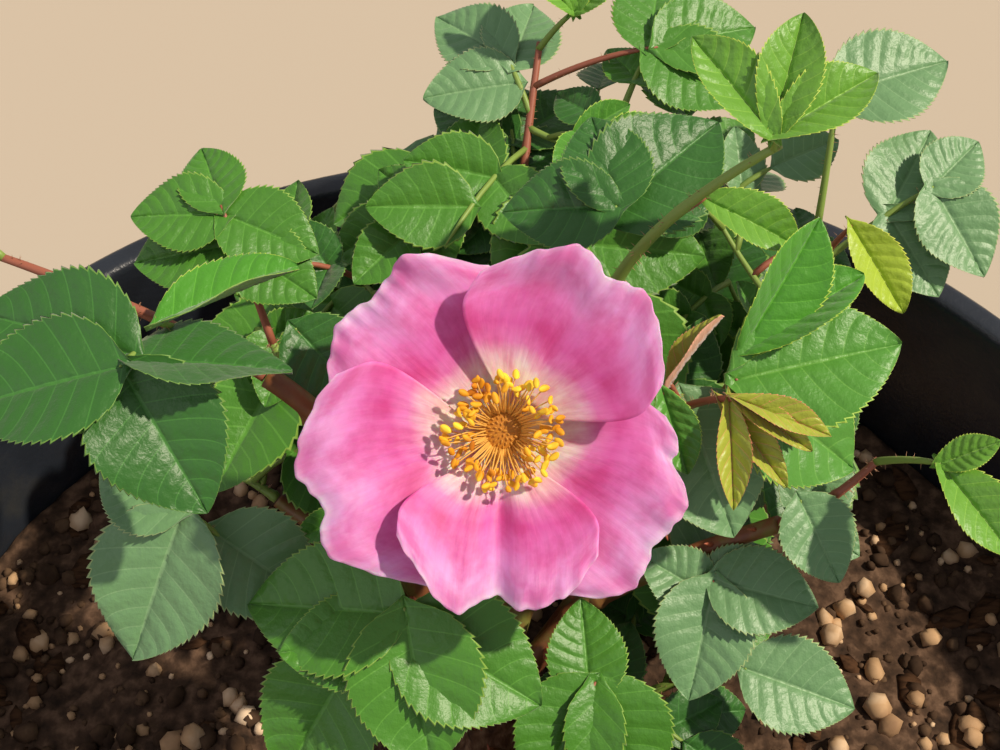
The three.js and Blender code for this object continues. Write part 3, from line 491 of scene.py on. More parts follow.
class Piece:
    def __init__(self, name):
        self.name = name
        self.points, self.faces, self.slots, self.maps = [], [], [], []
        self.count = 0

    def add(self, points, groups, uv=None):
        """Adds points in millimetres with groups of faces, each (faces, slot or one slot per face)."""
        for faces, slot in groups:
            faces = np.asarray(faces, int)
            self.faces.append(faces + self.count)
            self.slots.append(np.broadcast_to(np.asarray(slot), len(faces)))
        self.points.append(np.asarray(points, float))
        self.maps.append(np.zeros((len(points), 2)) if uv is None else uv)
        self.count += len(points)

    def mesh(self):
        mesh = bpy.data.meshes.new(self.name)
        faces = [face for group in self.faces for face in group.tolist()]
        mesh.from_pydata((np.concatenate(self.points) * MM).tolist(), [], faces)
        return mesh

    def build(self, looks, slot, *nodes):
        mesh = self.mesh()
        mesh.polygons.foreach_set("material_index", np.concatenate(self.slots).astype(np.int32))
        mesh.polygons.foreach_set("use_smooth", np.full(len(mesh.polygons), True))
        loops = np.concatenate([group.ravel() for group in self.faces])
        layer = mesh.uv_layers.new(name="UVMap")
        layer.data.foreach_set("uv", np.concatenate(self.maps)[loops].ravel())
        for material in looks:
            mesh.materials.append(material)
        mesh.update()
        piece = bpy.data.objects.new(self.name, mesh)
        bpy.context.scene.collection.objects.link(piece)
        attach(piece, "root")
        if nodes:
            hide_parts(*nodes)
        return piece


def grid_faces(rows, columns, closed=False):
    """Quads over a grid of points, row by row. A closed grid joins its last column to its first."""
    r = np.arange(rows - 1)[:, None]
    c = np.arange(columns if closed else columns - 1)[None, :]
    d = (c + 1) % columns
    a, b = r * columns + c, r * columns + d
    return np.stack([a, b, b + columns, a + columns], axis=-1).reshape(-1, 4)


def cap_faces(ring, middle, backward=False):
    """Triangles from a closed ring of point numbers to one in its middle."""
    ahead = np.roll(ring, -1)
    first, second = (ahead, ring) if backward else (ring, ahead)
    return np.stack([first, second, np.full(len(ring), middle)], axis=-1)


def capped(grid, poles):
    """Points of a closed grid and its two poles, its quads and the triangles to the poles."""
    rows, columns = grid.shape[:2]
    points = np.concatenate([grid.reshape(-1, 3), poles])
    first = np.arange(columns)
    last = first + (rows - 1) * columns
    ends = np.concatenate([cap_faces(first, len(points) - 2, True), cap_faces(last, len(points) - 1)])
    return points, grid_faces(rows, columns, closed=True), ends


def turns(count):
    """Angles that divide a full turn evenly."""
    return np.linspace(0, 2 * math.pi, count, endpoint=False)


def compass(turn):
    """A level direction."""
    return np.array([math.cos(turn), math.sin(turn), 0])


def lathe(profile, facets):
    """A grid of points: a profile of (radius, height) turned about Z."""
    turn = turns(facets)
    radius, height = np.array(profile, float).T
    x = radius[:, None] * np.cos(turn)
    y = radius[:, None] * np.sin(turn)
    z = np.broadcast_to(height[:, None], x.shape)
    return np.stack([x, y, z], axis=-1)


def add_lathe(piece, profile, facets, slot, inward=False):
    """Adds a turned profile in the bloom's own frame."""
    points, quads = lathe(profile, facets), grid_faces(len(profile), facets, closed=True)
    piece.add(from_bloom(points.reshape(-1, 3)), [(quads[:, ::-1] if inward else quads, slot)])


def add_tube(piece, curve, radius_at, size, slot=0, relief=None):
    """Adds a limb along a curve, closed at both ends, with (sides, rings)."""
    sides, rings = size
    t = np.linspace(0, 1, rings)
    at, along = bezier(curve, t), bezier_direction(curve, t)
    up = np.array([0.0, 1, 0]) if abs(along[0][2]) > 0.9 else np.array([0.0, 0, 1])
    ups = []
    for direction in along:
        up = unit(up - direction * np.dot(up, direction))
        ups.append(up)
    ups = np.array(ups)
    side = np.cross(along, ups)
    turn = turns(sides)
    radius = np.broadcast_to(radius_at(t)[:, None], (rings, sides))
    if relief is not None:
        radius = radius * (1 + relief(t[:, None], turn[None, :]))
    ring = np.cos(turn)[None, :, None] * side[:, None, :] + np.sin(turn)[None, :, None] * ups[:, None, :]
    points, quads, ends = capped(at[:, None, :] + ring * radius[:, :, None], [at[0], at[-1]])
    u = np.tile(turn / (2 * math.pi), rings)
    uv = np.concatenate([np.stack([u, np.repeat(t, sides)], axis=-1), [[0.5, 0], [0.5, 1]]])
    piece.add(points, [(quads, slot), (ends, slot)], uv)


def taper(start, end):
    return lambda t: start + (end - start) * np.asarray(t, float)


def add_spike(piece, root, tip, radius, slot, sides=3, bend=(0, 0, 0)):
    """Adds a thin spike, such as a bristle or a prickle."""
    middle = (root + tip) / 2 + np.asarray(bend, float)
    radius_at = taper(radius, radius * SPIKE["tip"])
    add_tube(piece, [root, middle, tip], radius_at, (sides, SPIKE["rings"]), slot)


def spot_on(curve, t, rng):
    """A place on a limb: its point, the way along and a random way out."""
    at, along = bezier(curve, t)[0], bezier_direction(curve, t)[0]
    return at, along, unit(np.cross(along, unit(rng.normal(size=3))))


# Materials

def linear(colour):
    """A colour written as 0xRRGGBB, as the shader wants it."""
    parts = [(colour >> shift & 255) / 255 for shift in (16, 8, 0)]
    return [c / 12.92 if c <= 0.04045 else ((c + 0.055) / 1.055) ** 2.4 for c in parts] + [1]


class Shader:
    """A material on one Principled shader, with short calls for the nodes that feed it."""

    def __init__(self, name, colour, rough, specular=0.5):
        self.material = bpy.data.materials.new(name)
        self.material.use_nodes = True
        self.tree = self.material.node_tree
        self.skin = self.tree.nodes["Principled BSDF"]
        self.set({"Base Color": linear(colour), "Roughness": rough, "Specular IOR Level": specular})

    def set(self, values):
        for socket, value in values.items():
            self.skin.inputs[socket].default_value = value

    def node(self, kind, inputs=(), **values):
        made = self.tree.nodes.new(kind)
        for name, value in values.items():
            setattr(made, name, value)
        for socket, value in dict(inputs).items():
            if isinstance(value, bpy.types.NodeSocket):
                self.tree.links.new(value, made.inputs[socket])
            else:
                made.inputs[socket].default_value = value
        return made

    def place(self, scale=(1, 1, 1), kind="Object"):
        source = self.node("ShaderNodeTexCoord").outputs[kind]
        return self.node("ShaderNodeMapping", {"Vector": source, "Scale": scale}).outputs[0]

    def noise(self, at, scale, detail, rough=0.55):
        values = {"Vector": at, "Scale": scale, "Detail": detail, "Roughness": rough}
        return self.node("ShaderNodeTexNoise", values).outputs["Fac"]

    def math(self, operation, *values):
        return self.node("ShaderNodeMath", enumerate(values), operation=operation).outputs[0]

    def ramp(self, value, stops):
        """Colours 0xRRGGBB at shares of the value."""
        ramp = self.node("ShaderNodeValToRGB", {"Fac": value})
        elements = ramp.color_ramp.elements
        while len(elements) < len(stops):
            elements.new(0.5)
        for element, (share, colour) in zip(elements, stops):
            element.position = share
            element.color = linear(colour)
        return ramp.outputs["Color"]

    def darkened(self, share, first, second):
        """The first colour, multiplied by a share of the second."""
        values = {0: share, 6: first, 7: second}
        return self.node("ShaderNodeMix", values, data_type="RGBA", blend_type="MULTIPLY").outputs[2]

    def colour(self, output):
        self.tree.links.new(output, self.skin.inputs["Base Color"])

    def bump(self, height, distance, strength=1.0):
        values = {"Height": height, "Distance": distance, "Strength": strength}
        bump = self.node("ShaderNodeBump", values)
        self.tree.links.new(bump.outputs[0], self.skin.inputs["Normal"])


def plain(name, colour, rough, specular=0.5):
    return Shader(name, colour, rough, specular).material


def mottled(name, stops, scale, rough, bump=0.0, specular=0.4, stretch=(1, 1, 1)):
    """Colours that follow a noise, and a bump that follows it too."""
    shader = Shader(name, stops[0][1], rough, specular)
    value = shader.noise(shader.place(stretch), scale, 5)
    shader.colour(shader.ramp(value, stops))
    if bump:
        shader.bump(value, bump)
    return shader.material


def look(name):
    return mottled(name, *MOTTLED[name]) if name in MOTTLED else plain(name, *PLAIN[name])


def looks_of(*names):
    return [look(name) for name in names]


# Stage, camera and light

def look_from_the_photo():
    e = math.radians(VIEW["down"])
    right = Vector((1, 0, 0))
    up = Vector((0, math.sin(e), math.cos(e)))
    back = Vector((0, -math.cos(e), math.sin(e)))
    data = bpy.data.cameras.new("camera")
    data.lens, data.sensor_width = VIEW["lens"], VIEW["sensor"]
    data.clip_start, data.clip_end = 0.005, 20
    camera = bpy.data.objects.new("camera", data)
    turn = Matrix((right, up, back)).transposed().to_4x4()
    camera.matrix_world = Matrix.Translation(Vector(VIEW["place"]) * MM) @ turn
    bpy.context.scene.collection.objects.link(camera)
    bpy.context.scene.camera = camera


def hang_lamp(data, spec):
    data.energy, data.color = spec["strength"], linear(spec["tint"])[:3]
    lamp = bpy.data.objects.new(data.name, data)
    towards = Vector(spec["towards"]).normalized()
    place = Matrix.Translation(Vector(LIGHT["middle"]) + towards * LIGHT["distance"])
    lamp.matrix_world = place @ towards.to_track_quat("Z", "Y").to_matrix().to_4x4()
    bpy.context.scene.collection.objects.link(lamp)


def set_the_stage():
    bpy.ops.mesh.primitive_plane_add(size=40, location=(0, 0, 0))
    floor = bpy.context.object
    floor.name = "floor"
    floor.data.materials.append(look("floor"))
    world = bpy.data.worlds.new("world")
    world.use_nodes = True
    sky = world.node_tree.nodes["Background"].inputs
    sky["Color"].default_value, sky["Strength"].default_value = linear(LIGHT["sky_tint"]), LIGHT["sky"]
    bpy.context.scene.world = world
    sun = bpy.data.lights.new("sun", "SUN")
    sun.angle = math.radians(LIGHT["sun"]["angle"])
    hang_lamp(sun, LIGHT["sun"])
    fill = bpy.data.lights.new("fill", "AREA")
    fill.size = LIGHT["fill"]["size"]
    hang_lamp(fill, LIGHT["fill"])
    bpy.context.scene.view_settings.view_transform = "Standard"


# Pot and compost

def pot_inner_radius(z):
    body = POT["rim_radius"] - POT["rim_step"]
    return POT["foot_radius"] + (body - POT["foot_radius"]) * z / POT["height"] - POT["wall"]


def rounded(corner, before, after, size, steps=5):
    """A corner of a profile rounded by a curve that begins and ends a size away from it."""
    corner, before, after = (np.array(p, float) for p in (corner, before, after))
    start = corner + unit(before - corner) * size
    end = corner + unit(after - corner) * size
    return [tuple(p) for p in bezier([start, corner, end], np.linspace(0, 1, steps))]


def pot_profile():
    """The pot's section from the middle of its foot, up the outside and down the inside."""
    height, rim, foot, floor = POT["height"], POT["rim_radius"], POT["foot_radius"], POT["floor"]
    step, body = height - POT["rim_drop"], rim - POT["rim_step"]
    corners = [
        (0, 0), (foot, 0), (body - POT["wall"] * 0.6, step - 3), (rim - 1.2, step), (rim, height),
        (rim - POT["rim_width"], height), (pot_inner_radius(step), step), (pot_inner_radius(floor), floor),
        (0, floor),
    ]
    profile = [(0.01, 0)]
    for before, corner, after, size in zip(corners, corners[1:], corners[2:], POT_CORNERS):
        profile += rounded(corner, before, after, size)
    return profile + [(0.01, floor)]


def make_pot():
    points, quads, ends = capped(lathe(pot_profile(), POT["facets"]), [[0, 0, 0], [0, 0, POT["floor"]]])
    pot = Piece("nursery_pot")
    pot.add(points, [(quads, 0), (ends, 0)])
    shader = Shader("pot_plastic", *PLASTIC["skin"])
    at, (grain, bump) = shader.place(), PLASTIC["grain"]
    shader.colour(shader.ramp(shader.noise(at, PLASTIC["dust_scale"], 6), PLASTIC["dust"]))
    shader.bump(shader.noise(at, grain, 2), bump)
    shell = pot.build([shader.material], "pot", "pot")
    drills = Piece("drills")
    reach, radius = np.array([0, 0, POT["floor"] * 2]), POT["hole_radius"]
    for turn in turns(POT["holes"]):
        middle = compass(turn) * POT["hole_circle"]
        add_tube(drills, [middle - reach, middle, middle + reach], taper(radius, radius), TUBES["drill"])
    cut(shell, drills)


def cut(shell, drills):
    """Cuts a piece by another set of parts, which is then gone."""
    cutter = bpy.data.objects.new(drills.name, drills.mesh())
    bpy.context.scene.collection.objects.link(cutter)
    for target in (shell, cutter):
        work = bmesh.new()
        work.from_mesh(target.data)
        bmesh.ops.recalc_face_normals(work, faces=work.faces)
        work.to_mesh(target.data)
        work.free()
    modifier = shell.modifiers.new("holes", "BOOLEAN")
    modifier.object, modifier.operation, modifier.solver = cutter, "DIFFERENCE", "EXACT"
    bpy.context.view_layer.update()
    whole = bpy.data.meshes.new_from_object(shell.evaluated_get(bpy.context.evaluated_depsgraph_get()))
    shell.modifiers.clear()
    shell.data = whole
    bpy.data.objects.remove(cutter)


def ripple(x, y, waves):
    """A gentle relief: a sum of waves, each (size in mm, compass angle, phase, height)."""
    total = 0
    for size, angle, phase, height in waves:
        a = math.radians(angle)
        total = total + height * np.sin((x * math.cos(a) + y * math.sin(a)) * 2 * math.pi / size + phase)
    return total


def from_stem(x, y):
    return np.hypot(x - STEM["foot"][0], y - STEM["foot"][1])


def soil_height(x, y):
    """The top of the compost at a place of the plan."""
    edge = SOIL["level"] - SOIL["dome"]
    share = np.hypot(x, y) / pot_inner_radius(edge)
    dome = edge + SOIL["dome"] * (1 - smooth((share - 0.4) / 0.6))
    near, width = SOIL["calm"]
    return dome - SOIL["sunk"] + ripple(x, y, SOIL_WAVES) * smooth((from_stem(x, y) - near) / width)


def make_soil(rng):
    foot, edge = POT["floor"] + GAP, SOIL["level"] - SOIL["dome"]
    radius, low = (pot_inner_radius(z) - SOIL["off_wall"] for z in (edge, foot))
    shares = np.linspace(0.004, 1, SOIL["rings"])[:, None]
    turn = turns(SOIL["facets"])
    x, y = shares * radius * np.cos(turn), shares * radius * np.sin(turn)
    z = soil_height(x, y) + rng.normal(0, SOIL["grain"], x.shape)
    base = np.stack([low * np.cos(turn), low * np.sin(turn), np.full(len(turn), foot)], axis=-1)
    grid = np.concatenate([np.stack([x, y, z], axis=-1), base[None]])
    points, quads, ends = capped(grid, [[0, 0, SOIL["level"] - SOIL["sunk"]], [0, 0, foot]])
    soil = Piece("compost")
    soil.add(points, [(quads, 0), (ends, 0)])
    soil.build([look("compost")], "soil", "soil")
    for name, row in CRUMBS.items():
        scatter(name, *row, rng)


def pebble(rng, size):
    """A rough lump of about a size across: its points, quads and end triangles."""
    rows, columns = PEBBLE["rows"], PEBBLE["columns"]
    tilt = np.linspace(0.35, math.pi - 0.35, rows)[:, None]
    turn = turns(columns)[None, :]
    reach = 0.5 * (1 + rng.uniform(-PEBBLE["rough"], PEBBLE["rough"], (rows, columns)))
    x = reach * np.sin(tilt) * np.cos(turn)
    y = reach * np.sin(tilt) * np.sin(turn)
    z = reach * np.cos(tilt)
    pole = PEBBLE["pole"]
    points, quads, ends = capped(np.stack([x, y, z], axis=-1), [[0, 0, pole], [0, 0, -pole]])
    return points * size, quads[:, ::-1], ends[:, ::-1]


def spin(rng):
    """A random turn as a matrix."""
    q = rng.normal(size=4)
    return np.array(Quaternion(q / np.linalg.norm(q)).to_matrix())


def scatter(name, skin, count, least, most, flat, long, rng):
    """Lumps spread over the compost, small ones more often than large ones."""
    edge = pot_inner_radius(SOIL["level"]) - 3
    piece = Piece(name)
    for _ in range(count):
        size = least + (most - least) * rng.random() ** 3
        reach, turn = (edge - size * 0.6) * math.sqrt(rng.random()), rng.uniform(0, 2 * math.pi)
        x, y = reach * math.cos(turn), reach * math.sin(turn)
        if from_stem(x, y) < STEM["flare"] + 4:
            continue
        points, quads, ends = pebble(rng, size)
        points = (points * [long, 1, flat]) @ (spin(rng) if flat > 0.5 else gentle(rng)).T
        top = max(soil_height(x, y) + size * flat * rng.uniform(0.05, 0.32), 0)
        piece.add(points + [x, y, top], [(quads, 0), (ends, 0)])
    piece.build([look(skin)], "soil")


def wobble(rng, amount, axes):
    """A small random tilt about two axes as a matrix."""
    first, second = (Matrix.Rotation(rng.normal(0, amount), 3, axis) for axis in axes)
    return first @ second


def gentle(rng):
    """A random turn of something that lies almost flat."""
    turn = Matrix.Rotation(rng.uniform(0, 2 * math.pi), 3, "Z")
    return np.array(turn @ wobble(rng, 0.28, "XY"))


# Woody limbs

limbs = {}


def bark_relief(seed, furrow, deep, knots=0):
    """Long furrows that wander round a limb, and swellings where leaves once were."""
    phases = np.random.default_rng(seed).uniform(0, 2 * math.pi, 4)

    def relief(t, turn):
        wander = 0.5 * np.sin(2 * math.pi * t * 1.3 + phases[0])
        ridge = np.sin(furrow * (turn + wander) + 2 * np.sin(7 * t * math.pi + phases[1]))
        fine = np.sin(furrow * 2.7 * turn + 23 * t + phases[2]) * np.sin(41 * t + phases[3])
        furrows = deep * (0.6 * ridge + 0.4 * fine)
        if not knots:
            return furrows
        place = t * knots + 0.31
        knot = np.exp(-(((place % 1) - 0.5) / 0.055) ** 2)
        side = 0.5 + 0.5 * np.cos(turn - 2.4 * np.floor(place))
        return furrows + knot * (0.07 + 0.16 * side)

    return relief


def make_main_stem():
    foot = np.array([*STEM["foot"], SOIL["level"] + GAP])
    lean, up = np.array([*STEM["lean"], 0]), np.array([0, 0, STEM["height"]])
    curve = [foot, foot + up * 0.4, foot + lean * 0.5 + up * 0.7, foot + lean + up]

    def radius(t):
        flare = (STEM["flare"] - STEM["waist"]) * (1 - smooth(t / 0.35))
        knuckle = 1.2 * np.sin(math.pi * smooth((t - 0.4) / 0.6))
        return STEM["waist"] + (STEM["top"] - STEM["waist"]) * t + flare + knuckle

    limbs["main_stem"] = curve
    stem = Piece("main_stem_bark")
    add_tube(stem, curve, radius, TUBES["stem"], 0, bark_relief(3, 9, 0.05))
    stem.build([look("bark")], "bark", "main_stem")


def bough_curve(parent, share, end, ends):
    start = bezier(limbs[parent], share)[0]
    finish = np.array(end, float)
    reach = np.linalg.norm(finish - start)
    out = (finish - start) * [1, 1, 0]
    leave = unit(out) * BOUGH_BEND["out"] + [0, 0, BOUGH_BEND["up"]]
    first, last = reach * BOUGH_BEND["start"], reach * BOUGH_BEND["end"]
    return [start, start + leave * first, finish - heading(*ends) * last, finish]


def add_prickles(piece, curve, radius_at, count, seed):
    rng = np.random.default_rng(seed)
    first, span = PRICKLES["place"]
    for k in range(count):
        t = first + span * (k + 0.5 * rng.random()) / count
        at, along, out = spot_on(curve, t, rng)
        size = rng.uniform(*PRICKLES["size"])
        root = at + out * float(radius_at(t)) * PRICKLES["sunk"]
        tip = root + out * size - along * size * PRICKLES["hook"]
        add_spike(piece, root, tip, size * PRICKLES["radius"], 1, 6, out * size * PRICKLES["bend"])


def add_bristles(piece, curve, radius_at, count, seed, size=BRISTLES["size"]):
    """Fine glandular hairs all over a limb."""
    rng = np.random.default_rng(seed)
    first, span = BRISTLES["place"]
    for _ in range(count):
        t = first + span * rng.random()
        at, _, out = spot_on(curve, t, rng)
        root = at + out * float(radius_at(t)) * BRISTLES["sunk"]
        add_spike(piece, root, root + out * size * rng.uniform(*BRISTLES["spread"]), BRISTLES["radius"], 2)


def make_bough(name, parent, share, end, ends, looks):
    curve = bough_curve(parent, share, end, ends)
    limbs[name] = curve
    spec = BOUGH_KINDS["bloom" if name == "cane_bloom" else name.split("_")[0]]
    radius, seed = taper(*spec["radii"]), sum(map(ord, name))
    piece = Piece(name + "_bark")
    add_tube(piece, curve, radius, TUBES["bough"], 0, bark_relief(seed, 4, 0.035, spec["knots"]))
    if "prickles" in spec:
        add_prickles(piece, curve, radius, spec["prickles"], seed)
    else:
        add_bristles(piece, curve, radius, spec["bristles"], seed)
    piece.build(looks, "cane", name)


def make_limbs():
    make_main_stem()
    cane, *spikes = looks_of("cane_bark", "prickle", "bristle")
    for row in BOUGHS:
        make_bough(*row, [cane, *spikes])
    end, looks = from_bloom([0, 0, -BLOOM["hip_length"] - GAP]), [look("flower_stalk"), *spikes]
    make_bough("cane_bloom", "main_stem", 0.9, end, [270, 90 - BLOOM["tilt"]], looks)


# Bloom: its own frame has +Z out of its face and +Y to the top of the flower as the viewer sees it

def bloom_turn():
    return np.array(Matrix.Rotation(math.radians(BLOOM["tilt"]), 3, "X"))


def from_bloom(points):
    return np.asarray(points, float) @ bloom_turn().T + BLOOM["centre"]


def bowl(radius):
    return BLOOM["bowl"] * (1 - np.cos(math.pi * np.minimum(1, radius / BLOOM["petal_length"]))) / 2


def petal_point(petal, across, along):
    """The middle surface of a petal: across from -1 to 1, along from 0 at the claw to 1 at the rim."""
    _, angle, length, width, layer, sides, notch, ruffle, crease, curled = petal
    lip_at, lip_wide, lip_high, lip_in = curled
    full, claw = BLOOM["petal_length"] * length, BLOOM["claw_radius"]
    rim_drop = 0.4 * np.abs(across) ** 2.4 + notch * np.exp(-((across / 0.25) ** 2))
    for depth, pace, shift in RIM_WAVES:
        rim_drop = rim_drop + depth * np.sin(pace * across + shift * angle)
    lip = smooth((along - 0.66) / 0.34) * np.exp(-(((across - lip_at) / lip_wide) ** 2))
    reach = claw + (full * (1 - rim_drop) - claw) * along - lip_in * lip
    spread = np.sin(math.pi / 2 * np.minimum(1, along / 0.72)) ** 1.1
    narrow = BLOOM["claw_half_width"]
    off = across * (narrow + (BLOOM["petal_length"] * width - narrow) * spread)
    turn = math.radians(angle)
    x = reach * math.cos(turn) + off * math.sin(turn)
    y = reach * math.sin(turn) - off * math.cos(turn)
    side = np.where(across > 0, sides[1], sides[0]) * across * across
    lift = side * BLOOM["lift"] * smooth(along * 1.4)
    z = bowl(np.hypot(x, y)) + layer * BLOOM["layer"] * smooth(along / 0.08) + lift + lip_high * lip
    return np.stack([x, y, z + petal_relief(across, along, angle, ruffle, crease)], axis=-1)


def petal_relief(across, along, angle, ruffle, crease):
    """What stands out of a petal's bowl: its ruffled rim, its crease, its pleats and a fine frill."""
    wave = np.sin(5.1 * across + 0.9 * angle + 2.2 * along)
    wave = wave + 0.55 * np.sin(11.3 * across + 1.7 * angle - 3 * along)
    ruffles = ruffle * smooth((along - 0.45) / 0.55) * wave * RUFFLE
    curl = -CURL * smooth((along - 0.84) / 0.16) * ruffle * (0.5 + 0.5 * wave)
    deep, wide = CREASE
    fold = -crease * deep * np.exp(-((across / wide) ** 2)) * smooth(along / 0.4)
    drift = 3 * np.sin(7 * along + angle) + 5 * np.sin(4.3 * across + 2 * angle)
    pleat = PLEATS[0] * np.sin(PLEATS[1] * across + drift) * smooth(along / 0.3)
    frill = FRILL[0] * np.sin(FRILL[1] * across + 4 * np.sin(3 * across + angle))
    return ruffles + curl + fold + pleat + frill * smooth((along - 0.8) / 0.2)


def petal_look():
    """Cream at the claw, a deep band partly painted as stamen shadow, pink beyond and paler at the rim,
    with fine veins that fan out.
    """
    shader, tones = Shader("petal", 0xE79CC4, 0.55, 0.35), PETAL_TONES
    along = shader.node("ShaderNodeSeparateXYZ", {0: shader.place(kind="UV")}).outputs[1]
    fine, broad = tones["stretch"]
    veins = shader.noise(shader.place(fine, "UV"), 1.0, 4, 0.6)
    patches = shader.noise(shader.place(broad, "UV"), 1.0, 5)
    base = shader.ramp(shader.math("MULTIPLY_ADD", veins, tones["shift"], along), tones["along"])
    tinted = shader.darkened(tones["shares"][0], base, shader.ramp(veins, tones["veins"]))
    shader.colour(shader.darkened(tones["shares"][1], tinted, shader.ramp(patches, tones["patches"])))
    shader.bump(veins, *tones["bump"])
    shader.set(PETAL_SKIN)
    return shader.material


def make_petal(petal, skin):
    columns, rows = PETAL_GRID["columns"], PETAL_GRID["rows"]
    across = np.linspace(-1, 1, columns)[None, :]
    along = np.linspace(0, 1, rows)[:, None]
    top = petal_point(petal, across, along)
    thin = BLOOM["petal_thick"] * (1 - 0.6 * smooth((along - 0.6) / 0.4)) * np.ones_like(across)
    points = np.concatenate([top, (top - thin[..., None] * [0, 0, 1])[:, ::-1]], axis=1)
    u = np.concatenate([across, across[:, ::-1]], axis=1) * np.ones((rows, 1))
    uv = np.stack([u * 0.5 + 0.5, along * np.ones_like(u)], axis=-1).reshape(-1, 2)
    ring = 2 * columns
    claw = np.arange(columns - 1)
    near = np.stack([claw, claw + 1, ring - 2 - claw, ring - 1 - claw], axis=-1)
    ends = np.concatenate([near[:, ::-1], near + (rows - 1) * ring])
    piece = Piece(petal[0] + "_blade")
    piece.add(from_bloom(points.reshape(-1, 3)), [(grid_faces(rows, ring, closed=True), 0), (ends, 0)], uv)
    piece.build([skin], "petal", petal[0])


def anther(rng, sizes):
    """A bean of two lobes along X: its points, quads and end triangles."""
    tilt = np.linspace(0.2, math.pi - 0.2, ANTHER["rows"])[:, None]
    turn = turns(ANTHER["columns"])[None, :]
    x = np.cos(tilt) * np.ones_like(turn)
    waist = np.sin(tilt) * (1 - ANTHER["waist"] * np.abs(np.sin(turn)))
    y, z = waist * np.cos(turn) * ANTHER["broad"], waist * np.sin(turn) * ANTHER["deep"]
    grid = np.stack([x, y, z + ANTHER["bend"] * x * x], axis=-1)
    points, quads, ends = capped(grid, [[1.02, 0, ANTHER["bend"]], [-1.02, 0, ANTHER["bend"]]])
    return points * rng.uniform(*sizes), quads, ends


def add_anther(piece, at, sizes, turn, rng, wander=0.0, tilt=0.0):
    """Adds an anther, or a stigma of the same shape, at a place in the bloom's own frame."""
    points, quads, ends = anther(rng, sizes)
    if wander:
        turn = turn + rng.normal(0, wander)
    way = Matrix.Rotation(turn, 3, "Z")
    if tilt:
        way = way @ wobble(rng, tilt, "YX")
    piece.add(from_bloom(points @ np.array(way).T + at), [(quads, 1), (ends, 1)])


def make_stamens(rng):
    spec, stamens = STAMENS, Piece("stamens_ring")
    foot, foot_height = spec["foot"]
    bend, bend_height = spec["bend"]
    for k in range(spec["count"]):
        turn = (k + 0.5 * rng.random()) / spec["count"] * 2 * math.pi
        radius = spec["inner"] + (spec["outer"] - spec["inner"]) * rng.random() ** 0.7
        height = spec["low"] + (spec["high"] - spec["low"]) * rng.random()
        out, up = compass(turn), np.array([0, 0, 1])
        tip = out * radius + compass(turn + math.pi / 2) * rng.normal(0, spec["sway"]) + up * height
        curve = [out * foot + up * foot_height, out * radius * bend + up * height * bend_height, tip]
        add_tube(stamens, [from_bloom(p) for p in curve], taper(*spec["radii"]), TUBES["filament"])
        place = tip + up * spec["above"]
        add_anther(stamens, place, spec["anther"], turn, rng, spec["turn"], spec["tilt"])
    stamens.build(looks_of("filament", "anther"), "stamen", "stamens")
    make_disc(rng)


def make_disc(rng):
    disc = Piece("golden_disc")
    add_lathe(disc, DISC, 40, 0, inward=True)
    spec = STIGMAS
    for k in range(spec["count"]):
        reach, turn = spec["reach"] * math.sqrt((k + 0.5) / spec["count"]), k * spec["turn"]
        foot = compass(turn) * reach + [0, 0, spec["height"] - spec["dome"] * reach * reach]
        add_anther(disc, foot, spec["size"], turn, rng)
    reach, (over, under) = np.linspace(*THROAT["reach"], THROAT["steps"]), THROAT["below"]
    throat = [(r, float(bowl(r)) - over) for r in reach]
    throat += [(r, float(bowl(r)) - under) for r in reach[::-1]]
    add_lathe(disc, throat + throat[:1], 48, 2, inward=True)
    disc.build(looks_of("disc", "stigma", "throat"), "stamen")


def make_calyx(rng):
    corners = [(radius, -BLOOM["hip_length"] * share) for radius, share in HIP] + CALYX_RIM
    piece = Piece("hip_with_sepals")
    add_lathe(piece, corners, 48, 0)
    for _ in range(GLANDS["count"]):
        radius, height = corners[rng.integers(*GLANDS["rows"])]
        out = compass(rng.uniform(0, 2 * math.pi))
        root = out * radius * 0.95 + [0, 0, height]
        tip = root + out * rng.uniform(*GLANDS["length"])
        add_spike(piece, from_bloom(root), from_bloom(tip), BRISTLES["radius"], 2)
    droop = Matrix.Rotation(math.radians(SEPALS["droop"]), 4, "Y")
    for petal in PETALS:
        turn = Matrix.Rotation(math.radians(petal[1] + SEPALS["turn"]), 4, "Z")
        place = np.array(turn @ Matrix.Translation(SEPALS["foot"]) @ droop)
        points, groups, uv = leaflet(BLOOM["sepal_length"], SEPAL, "free", rng)
        groups = [(faces, np.where(np.asarray(slot) == 3, 1, 0)) for faces, slot in groups]
        piece.add(from_bloom(points @ place[:3, :3].T + place[:3, 3]), groups, uv)
    piece.build(looks_of("calyx", "sepal_back", "gland_hair"), "calyx", "hip_and_sepals")


# Leaflets

def outline(s, power=KINDS["mature"]["shape"]):
    """How wide a leaflet is at a share of its length, as a share of its widest."""
    round_ends = np.sin(math.pi * np.clip(s, 0, 1) ** power) ** OUTLINE["blunt"]
    return round_ends * smooth(s / OUTLINE["root"]) ** OUTLINE["sharp"]


def leaflet_rows(spec):
    """Shares of the length, tooth heights and quilting of each row, and which rows begin a vein."""
    rows = [(0.0, 0.3, 0.0, False), (0.035, 0.3, 0.5, False)]
    span = spec["veins"] + 0.25
    for k in range(spec["veins"]):
        start = (k + 0.45) / span
        rows.append((start, 1.0, 0.0, True))
        for place, (share, tooth) in enumerate(spec["between"]):
            quilt = math.sin(math.pi * share) if place else 0.0
            rows.append((start + 1 / span * share, tooth, quilt, False))
    rows = [row for row in rows if row[0] < 0.985]
    rows += [(0.99, 0.4, 0.2, False), (1.0, 0.4, 0.0, False)]
    return [np.array(column)[:, None] for column in zip(*rows)]


